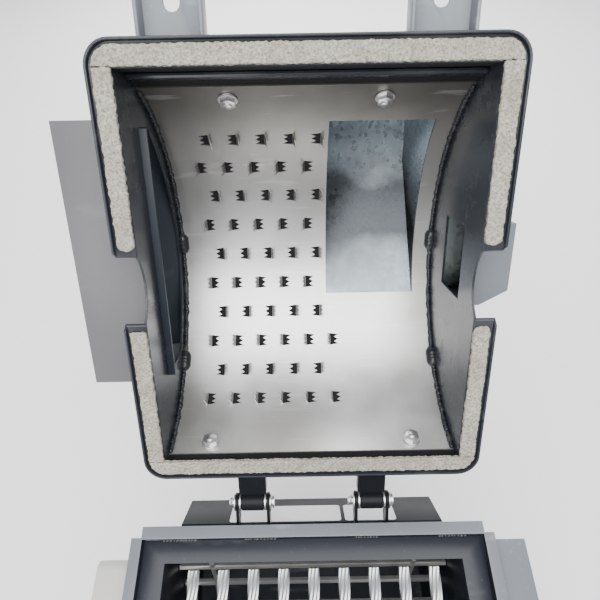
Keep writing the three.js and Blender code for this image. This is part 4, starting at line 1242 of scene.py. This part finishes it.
# ------------------------------------------------------------------ hinges
@dataclass
class Hinges:
    """The two hinges: channel arms with barrels, ears on the base, pins, washers and split pins."""

    shop: Shop
    centre_x: float = 0.083
    hinge_y: float = 0.316
    hinge_z: float = 0.042
    barrel: float = 0.012
    barrel_length: float = 0.031
    pin: float = 0.0059
    arm_width: float = 0.038
    ear_wall: float = 0.004
    bore: float = 0.0065
    washer: float = 0.0122
    leg: float = 0.0012
    eye: float = 0.0034

    def build(self) -> None:
        """Builds both hinges."""
        for name, middle in (("left", -self.centre_x), ("right", self.centre_x)):
            self.build_arm(name, middle)
            self.build_bracket(name, middle)
            self.build_pin(name, middle)

    def build_arm(self, name: str, middle: float) -> None:
        """Builds the channel arm and its barrel, on the hood.

        Args:
            name: left or right.
            middle: the hinge's middle on X.
        """
        low = self.shop.datum.rim + 0.0015
        half = self.arm_width / 2
        arm = Bench.block("arm", (middle - half, 0.256, low), (middle + half, 0.3045, low + 0.016))
        Bench.cut(arm, Bench.block(
            "hollow", (middle - half + 0.003, 0.25, low + 0.003), (middle + half - 0.003, 0.297, low + 0.03)))
        Bench.soften(arm, 0.001)
        ends = self.barrel_length / 2
        barrel = Bench.turn("barrel", Along.X, (middle, self.hinge_y, self.hinge_z), [
            (-ends, self.pin + 0.0006), (-ends, self.barrel - 0.001), (-ends + 0.001, self.barrel),
            (ends - 0.001, self.barrel), (ends, self.barrel - 0.001), (ends, self.pin + 0.0006)], ring=True)
        piece = Bench.weld(f"hinge_arm_{name}_made", arm, barrel)
        self.shop.fit(piece, self.shop.finishes.black, Slot.ANTHRACITE, Body.HOOD, f"hinge_arm_{name}")

    def build_bracket(self, name: str, middle: float) -> None:
        """Builds the two ears and their foot on the border.

        Args:
            name: left or right.
            middle: the hinge's middle on X.
        """
        back, rim = 0.2863, self.shop.datum.rim
        near = self.arm_width / 2 + 0.0005
        turns = [math.radians(-30 + 192 * step / 14) for step in range(15)]
        eye = [(self.hinge_y + self.barrel * math.cos(turn), self.hinge_z + self.barrel * math.sin(turn))
               for turn in turns]
        outline = [(back, rim - 0.034), (self.hinge_y + 0.004, rim - 0.022)] + eye + [(back, rim - 0.012)]
        ears = []
        for start in (middle - near - self.ear_wall, middle + near):
            ear = Bench.plate("ear", outline, Along.X, start, start + self.ear_wall)
            bore = Bench.turn("bore", Along.X, (start, self.hinge_y, self.hinge_z), [
                (-0.01, self.bore), (0.02, self.bore)])
            ears.append(Bench.soften(Bench.cut(ear, bore), 0.0006))
        foot = Bench.block("foot", (middle - near, back, rim - 0.034),
                           (middle + near, back + self.ear_wall, rim - 0.014), 0.0008)
        piece = Bench.weld(f"hinge_bracket_{name}_made", *ears, foot)
        self.shop.fit(piece, self.shop.finishes.black, Slot.ANTHRACITE, Body.BASE, f"hinge_bracket_{name}")

    def build_pin(self, name: str, middle: float) -> None:
        """Builds the pin with its head, four washers and the split pin.

        Args:
            name: left or right.
            middle: the hinge's middle on X.
        """
        far = self.arm_width / 2 + self.ear_wall + 0.0008
        at = (middle, self.hinge_y, self.hinge_z)
        p = self.pin
        pieces = [Bench.turn("rod", Along.X, at, [
            (-far - 0.009, p * 0.8), (-far - 0.0082, p), (far + 0.0035, p), (far + 0.0036, p + 0.003),
            (far + 0.006, p + 0.003), (far + 0.0065, p + 0.002)])]
        for start, end in ((-far - 0.0022, -far), (far, far + 0.0022), (-0.0189, -0.0162), (0.0162, 0.0189)):
            pieces.append(Bench.turn("washer", Along.X, at, [
                (start, p + 0.0001), (start, self.washer - 0.0006), (start + 0.0004, self.washer),
                (end - 0.0004, self.washer), (end, self.washer - 0.0006), (end, p + 0.0001)], 36, ring=True))
        x = middle - far - 0.0055
        for lean, length in ((0.10, 0.016), (-0.12, 0.011)):
            leg = Bench.turn("leg", Along.Z, (0, 0, 0), [
                (-length, self.leg - 0.0003), (-length + 0.001, self.leg), (0.008, self.leg)], 12)
            spot = Matrix.Translation((x, self.hinge_y, self.hinge_z)) @ Matrix.Rotation(lean, 4, "Y")
            pieces.append(Bench.place(leg, spot))
        Bench.clear()
        bpy.ops.mesh.primitive_torus_add(
            major_radius=self.eye, minor_radius=self.leg, major_segments=20, minor_segments=8,
            location=(x, self.hinge_y, self.hinge_z + 0.011), rotation=(0, math.pi / 2, 0))
        pieces.append(Bench.fix(bpy.context.object, "eye"))
        piece = Bench.weld(f"hinge_pin_{name}_made", *pieces)
        Bench.soften(piece, 0)
        self.shop.fit(piece, self.shop.finishes.zinc, Slot.ZINC, Body.BASE, f"hinge_pin_{name}")


# ------------------------------------------------------------------ base
@dataclass
class Base:
    """The border, the ledge with its stitch welds, the casing, the apron, the covers and the stand."""

    shop: Shop
    stitch_step: float = 0.0042
    stitch_sizes: tuple[float, float] = (0.0024, 0.0036)
    stitch_y: float = 0.2695
    stitch_drop: float = 0.0103
    slope_top: tuple[float, float] = (0.298, -0.040)
    plate_heights: tuple[float, float] = (0.002, 0.048)
    plate_corner: float = 0.005

    def build(self) -> None:
        """Builds the base from refined copies, welds and label plates."""
        look = self.shop.finishes
        # painted shade: the border frame's inward-facing upright faces get the dark ledge finish
        shaded_bar_faces = Patch(look.ledge, lambda centre, normal: normal.z < 0.3 and normal.yx.dot(centre.yx) < 0)
        self.shop.refine("border_frame", look.border, Slot.BLUE_GREY, Body.BASE, 0.0022, other=shaded_bar_faces)
        for node in ("seal_ledge_front", "seal_ledge_rear"):
            self.shop.refine(node, look.ledge, Slot.BLUE_GREY, Body.BASE)
        # painted shade: the casing plates' inward faces get the dark ledge finish
        inside = Patch(look.ledge, lambda centre, normal: normal.yx.dot(centre.yx) < 0)
        for node in ("casing_end_left", "casing_end_right", "casing_front", "casing_rear"):
            self.shop.refine(node, look.blue_grey, Slot.BLUE_GREY, Body.BASE, other=inside)
        for node in ("husk_funnel", "stand_left", "stand_right", "stand_tie_front", "motor_plate"):
            self.shop.refine(node, look.blue_grey, Slot.BLUE_GREY, Body.BASE)
        self.shop.refine("drive_cover_right", look.border, Slot.BLUE_GREY, Body.BASE, 0.0006)
        self.shop.refine("bearing_cover_left", look.cover, Slot.COVER, Body.BASE, 0.0006)
        self.shop.refine("lower_grate", look.sheet, Slot.STEEL, Body.BASE, 0)
        self.shop.refine("rear_apron", look.black, Slot.ANTHRACITE, Body.BASE, 0.0006)
        for side in ("left", "right"):
            self.shop.refine(f"clamp_bracket_{side}", look.anthracite, Slot.ANTHRACITE, Body.BASE)
            self.shop.refine(f"bearing_{side}", look.cast, Slot.CAST, Body.BASE, 0.001)
        self.build_stitches()
        self.build_labels()

    def build_stitches(self) -> None:
        """Builds the short weld beads between the rear bar and the ledge."""
        dice = random.Random(5)
        rim = self.shop.datum.rim
        places = []
        for start, end in ((-0.205, -0.160), (-0.092, -0.050), (0.060, 0.090), (0.175, 0.212)):
            x = start
            while x < end:
                size = dice.uniform(*self.stitch_sizes)
                spot = Matrix.Translation((x, self.stitch_y, rim - self.stitch_drop))
                places.append(spot @ Matrix.Diagonal((size * 1.2, size, size, 1)))
                x += self.stitch_step * dice.uniform(0.8, 1.2)
        Bench.clear()
        bpy.ops.mesh.primitive_ico_sphere_add(subdivisions=2, radius=1)
        bead = Bench.repeat("stitch_welds", bpy.context.object, places)
        Bench.soften(bead, 0)
        self.shop.fit(bead, self.shop.finishes.bead, Slot.BLUE_GREY, Body.BASE)

    def build_labels(self) -> None:
        """Builds the blank plates on the apron's slope."""
        slope = math.atan2(-0.8, 0.6)
        for name, x0, x1 in (("left", -0.127, 0.046), ("right", 0.052, 0.131)):
            outline = rounded(x0, x1, *self.plate_heights, [self.plate_corner] * 4)
            label = Bench.plate(f"blank_plate_{name}", outline, Along.Z, 0.0003, 0.0011)
            Bench.place(label, Matrix.Translation((0, *self.slope_top)) @ Matrix.Rotation(slope, 4, "X"))
            self.shop.fit(label, self.shop.finishes.label, Slot.COVER, Body.BASE)


@dataclass
class HoodFittings:
    """The chute, hopper, pocket and lugs on the hood."""

    shop: Shop

    def build(self) -> None:
        """Fits refined copies of each."""
        look = self.shop.finishes
        low = self.shop.datum.rim + 0.0623
        outside = -0.2012
        # the chute's outer faces get the warm grey paint; its inner faces and the sill inside the end wall
        # get the dark blue painted shade
        plate = Patch(look.warm_grey, lambda centre, normal: (
            centre.x < outside and (centre.z < low + 0.001 or centre.x < -0.299 or abs(normal.y) > 0.9)))
        chute = Bench.split(Bench.refined("outlet_chute", 0.0008), Along.X, outside + self.shop.datum.axis.x)
        self.shop.fit(chute, look.night_blue, Slot.BLUE_GREY, Body.HOOD, "outlet_chute",
                      drawn=False, other=plate)
        self.shop.refine("feed_hopper", look.galvanised, Slot.GALVANISED, Body.HOOD, 0.0004)
        skin = Patch(look.border, lambda centre, normal: normal.dot(
            Vector((centre.x - 0.225, centre.y + 0.009, centre.z - 0.142))) > 0)
        self.shop.refine("side_pocket", look.dull_zinc, Slot.GALVANISED, Body.HOOD, 0.0006, other=skin)
        for side in ("left", "right"):
            self.shop.refine(f"clamp_lug_{side}", look.border, Slot.BLUE_GREY, Body.HOOD, 0.001)


# ------------------------------------------------------------------ drum
@dataclass
class Drum:
    """The drum, its shaft and pulley, and six bars of wire-rope fingers."""

    shop: Shop
    radius: float = 0.140
    half: float = 0.184
    shaft: float = 0.0175
    tip: float = 0.235
    pitch: float = 0.040
    bars: int = 6
    first_bar: float = 8.0
    bar_width: float = 0.034
    bar_height: float = 0.010
    strand: float = 0.0026
    strand_circle: float = 0.0052
    twist: float = 150.0
    ferrule: float = 0.0079
    shaft_ends: tuple[float, float] = (-0.246, 0.287)
    finger_ends: tuple[float, float] = (-0.160, 0.165)

    def build(self) -> None:
        """Builds the drum's pieces."""
        look = self.shop.finishes
        self.build_core()
        for index in range(self.bars):
            self.build_bar(index)
        self.shop.refine("drum_pulley", look.cast, Slot.CAST, Body.DRUM, 0.0008)
        self.shop.refine("motor_pulley", look.wire, Slot.STEEL, Body.ROTOR, 0.0006)

    def build_core(self) -> None:
        """Builds the drum tube with its end discs and through shaft."""
        r, half = self.radius, self.half
        left, right = self.shaft_ends
        core = Bench.turn("drum_core_made", Along.X, (0, 0, 0), [
            (left, self.shaft - 0.001), (left + 0.001, self.shaft), (-half, self.shaft), (-half, r - 0.001),
            (-half + 0.001, r), (half - 0.001, r), (half, r - 0.001), (half, self.shaft),
            (right - 0.001, self.shaft), (right, self.shaft - 0.001)], 72)
        Bench.soften(core, 0)
        self.shop.fit(core, self.shop.finishes.anthracite, Slot.ANTHRACITE, Body.DRUM, "drum_core")

    def finger(self) -> bpy.types.Object:
        """Makes one wire-rope finger: seven strands twisted together over a ferrule.

        Returns:
            The finger.
        """
        low, high = self.radius + 0.004, self.tip
        steps = 14
        strand = Bench.turn("strand", Along.Z, (0, 0, 0), [
            (low + (high - low) * step / steps, self.strand) for step in range(steps + 1)], 6)
        places = [Matrix.Identity(4)]
        for turn in range(6):
            angle = math.radians(60 * turn)
            places.append(Matrix.Translation(
                (self.strand_circle * math.cos(angle), self.strand_circle * math.sin(angle), 0)))
        rope = Bench.repeat("rope", strand, places)
        Bench.apply(rope, "SIMPLE_DEFORM", deform_method="TWIST", deform_axis="Z",
                    angle=math.radians(self.twist))
        ferrule = Bench.turn("ferrule", Along.Z, (0, 0, 0), [
            (low + 0.004, self.ferrule), (low + 0.017, self.ferrule),
            (low + 0.018, self.ferrule - 0.0007)], 16)
        return Bench.weld("finger", rope, ferrule)

    def build_bar(self, index: int) -> None:
        """Builds one bar of fingers.

        Args:
            index: the bar's number, from 0.
        """
        phase = 0.0 if index % 2 == 0 else self.pitch / 2
        places = []
        first, last = self.finger_ends
        x = first + phase
        while x <= last:
            places.append(Matrix.Translation((x, 0, 0)))
            x += self.pitch
        fingers = Bench.repeat("fingers", self.finger(), places)
        foot = self.radius + 0.0003
        bar = Bench.block("bar", (-self.half + 0.002, -self.bar_width / 2, foot),
                          (self.half - 0.002, self.bar_width / 2, foot + self.bar_height), 0.0012)
        piece = Bench.weld(f"finger_bar_{index + 1}_made", bar, fingers)
        turn = self.first_bar + 360 * index / self.bars - 90
        Bench.place(piece, Matrix.Rotation(math.radians(turn), 4, "X"))
        Bench.soften(piece, 0)
        self.shop.fit(piece, self.shop.finishes.wire, Slot.STEEL, Body.DRUM, f"finger_bar_{index + 1}")


# ------------------------------------------------------------------ drive
@dataclass
class Drive:
    """The motor, its terminal box, the belt, the clamps and the switch box."""

    shop: Shop
    fins: int = 36
    fin_reach: tuple[float, float] = (0.056, 0.0615)
    fin_half: float = 0.0011
    fin_length: float = 0.15
    bare_angles: tuple[float, float] = (140, 220)
    stem: float = 0.012
    cap: float = 0.0148

    def build(self) -> None:
        """Builds the drive's pieces."""
        look = self.shop.finishes
        self.build_motor()
        self.shop.refine("terminal_box", look.rubber, Slot.RUBBER, Body.BASE, 0.0015)
        self.shop.refine("drive_belt", look.rubber, Slot.RUBBER, Body.BASE, 0.0006)
        self.shop.refine("switch_box", look.cover, Slot.COVER, Body.BASE, 0.0009)
        self.build_buttons()
        for side, body in (("left", Body.SWING_LEFT), ("right", Body.SWING_RIGHT)):
            self.shop.refine(f"swing_bolt_{side}", look.zinc, Slot.ZINC, body, 0.0006)

    def build_motor(self) -> None:
        """Adds cooling fins along the motor's refined body."""
        look = self.shop.finishes
        self.shop.refine("motor_body", look.blue_grey, Slot.BLUE_GREY, Body.BASE, 0.0012)
        motor = next(joint for joint in frame["joints"] if joint["name"] == "motor_spin")
        centre = Vector(motor["pos_m"])
        x0 = centre.x - 0.022
        foot, tip = self.fin_reach
        fin = Bench.block("fin", (x0, -self.fin_half, foot),
                          (x0 + self.fin_length, self.fin_half, tip), 0.0005)
        places = []
        for index in range(self.fins):
            angle = 360 * index / self.fins
            if self.bare_angles[0] < angle < self.bare_angles[1]:
                continue
            spot = Matrix.Translation((0, centre.y, centre.z))
            places.append(spot @ Matrix.Rotation(math.radians(angle), 4, "X"))
        fins = Bench.repeat("motor_fins", fin, places)
        self.shop.fit(fins, look.blue_grey, Slot.BLUE_GREY, Body.BASE, drawn=False)

    def build_buttons(self) -> None:
        """Builds the two push buttons with domed faces."""
        look = self.shop.finishes
        for node, material, slot, body in (
            ("button_start", look.green, Slot.GREEN, Body.START),
            ("button_stop", look.red, Slot.RED, Body.STOP),
        ):
            low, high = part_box(node)
            middle = (low + high) / 2
            length = high.y - low.y
            button = Bench.turn(f"{node}_made", Along.Y, (middle.x, low.y, middle.z), [
                (0.0, self.stem - 0.0025), (0.0008, self.stem - 0.0008), (0.002, self.stem),
                (0.0099, self.stem), (0.0101, self.cap), (length, self.cap)])
            self.shop.fit(button, material, slot, body, node, drawn=False)


# ------------------------------------------------------------------ studio
@dataclass
class Studio:
    """The floor, the light and the camera."""

    datum: Datum
    eye: tuple[float, float, float] = (-0.0120, 0.197, 0.766)
    pitch: float = 58.0
    roll: float = 1.0
    lens: float = 28.8
    sensor: float = 36.0
    sky: tuple[float, float, float] = (0.93, 0.96, 1.0)
    sky_strength: float = 0.75
    floor_size: float = 16.0
    floor_grey: tuple[float, float, float] = (0.93, 0.93, 0.93)

    def build(self) -> None:
        """Sets the studio up."""
        self.build_camera()
        self.build_floor()
        self.build_lights()

    def build_camera(self) -> None:
        """Places the camera over the open hood."""
        tilt, roll = math.radians(self.pitch), math.radians(self.roll)
        ahead = Vector((0, math.cos(tilt), -math.sin(tilt)))
        level = Vector((0, -math.sin(tilt), -math.cos(tilt)))
        right = math.cos(roll) * Vector((1, 0, 0)) + math.sin(roll) * level
        down = -math.sin(roll) * Vector((1, 0, 0)) + math.cos(roll) * level
        data = bpy.data.cameras.new("camera")
        data.lens, data.sensor_width, data.clip_start = self.lens, self.sensor, 0.01
        camera = bpy.data.objects.new("camera", data)
        bpy.context.scene.collection.objects.link(camera)
        turn = Matrix((right, -down, -ahead)).transposed().to_4x4()
        camera.matrix_world = Matrix.Translation(self.datum.axis + Vector(self.eye)) @ turn
        bpy.context.scene.camera = camera

    def build_floor(self) -> None:
        """Lays the pale floor."""
        Bench.clear()
        bpy.ops.mesh.primitive_plane_add(size=self.floor_size, location=(0, 0, -0.0005))
        floor = Bench.fix(bpy.context.object, "studio_floor")
        recipe = Recipe("studio_floor")
        floor.data.materials.append(recipe.look(Base_Color=opaque(self.floor_grey), Roughness=0.9))

    def build_lights(self) -> None:
        """Lights the machine with a pale sky and four soft panels."""
        world = bpy.data.worlds.new("studio_sky")
        world.use_nodes = True
        sky = world.node_tree.nodes["Background"]
        sky.inputs[0].default_value = opaque(self.sky)
        sky.inputs[1].default_value = self.sky_strength
        bpy.context.scene.world = world
        for name, spot, size, power in (
            ("overhead", (0.0, -1.0, 3.4), 3.0, 170), ("front_fill", (-1.8, -2.6, 2.0), 2.0, 50),
            ("back_rim", (1.6, 2.6, 2.4), 1.6, 40), ("back_low", (-0.2, 3.0, 1.7), 1.8, 90),
        ):
            data = bpy.data.lights.new(name, "AREA")
            data.size, data.energy = size, power
            light = bpy.data.objects.new(name, data)
            bpy.context.scene.collection.objects.link(light)
            light.location = spot
            aim = self.datum.axis - Vector(spot)
            light.rotation_euler = aim.to_track_quat("-Z", "Y").to_euler()


def main() -> None:
    """Builds the machine, sub-assembly by sub-assembly."""
    logging.basicConfig(level=logging.INFO, format="%(name)s: %(message)s")
    datum = Datum.from_frame()
    Studio(datum).build()
    shop = Shop(datum, Finishes())
    hood = Hood(shop)
    hood.build()
    Lining(shop).build(hood)
    HoodFittings(shop).build()
    Hinges(shop).build()
    Base(shop).build()
    Drum(shop).build()
    Drive(shop).build()


if __name__ == "__main__":
    main()
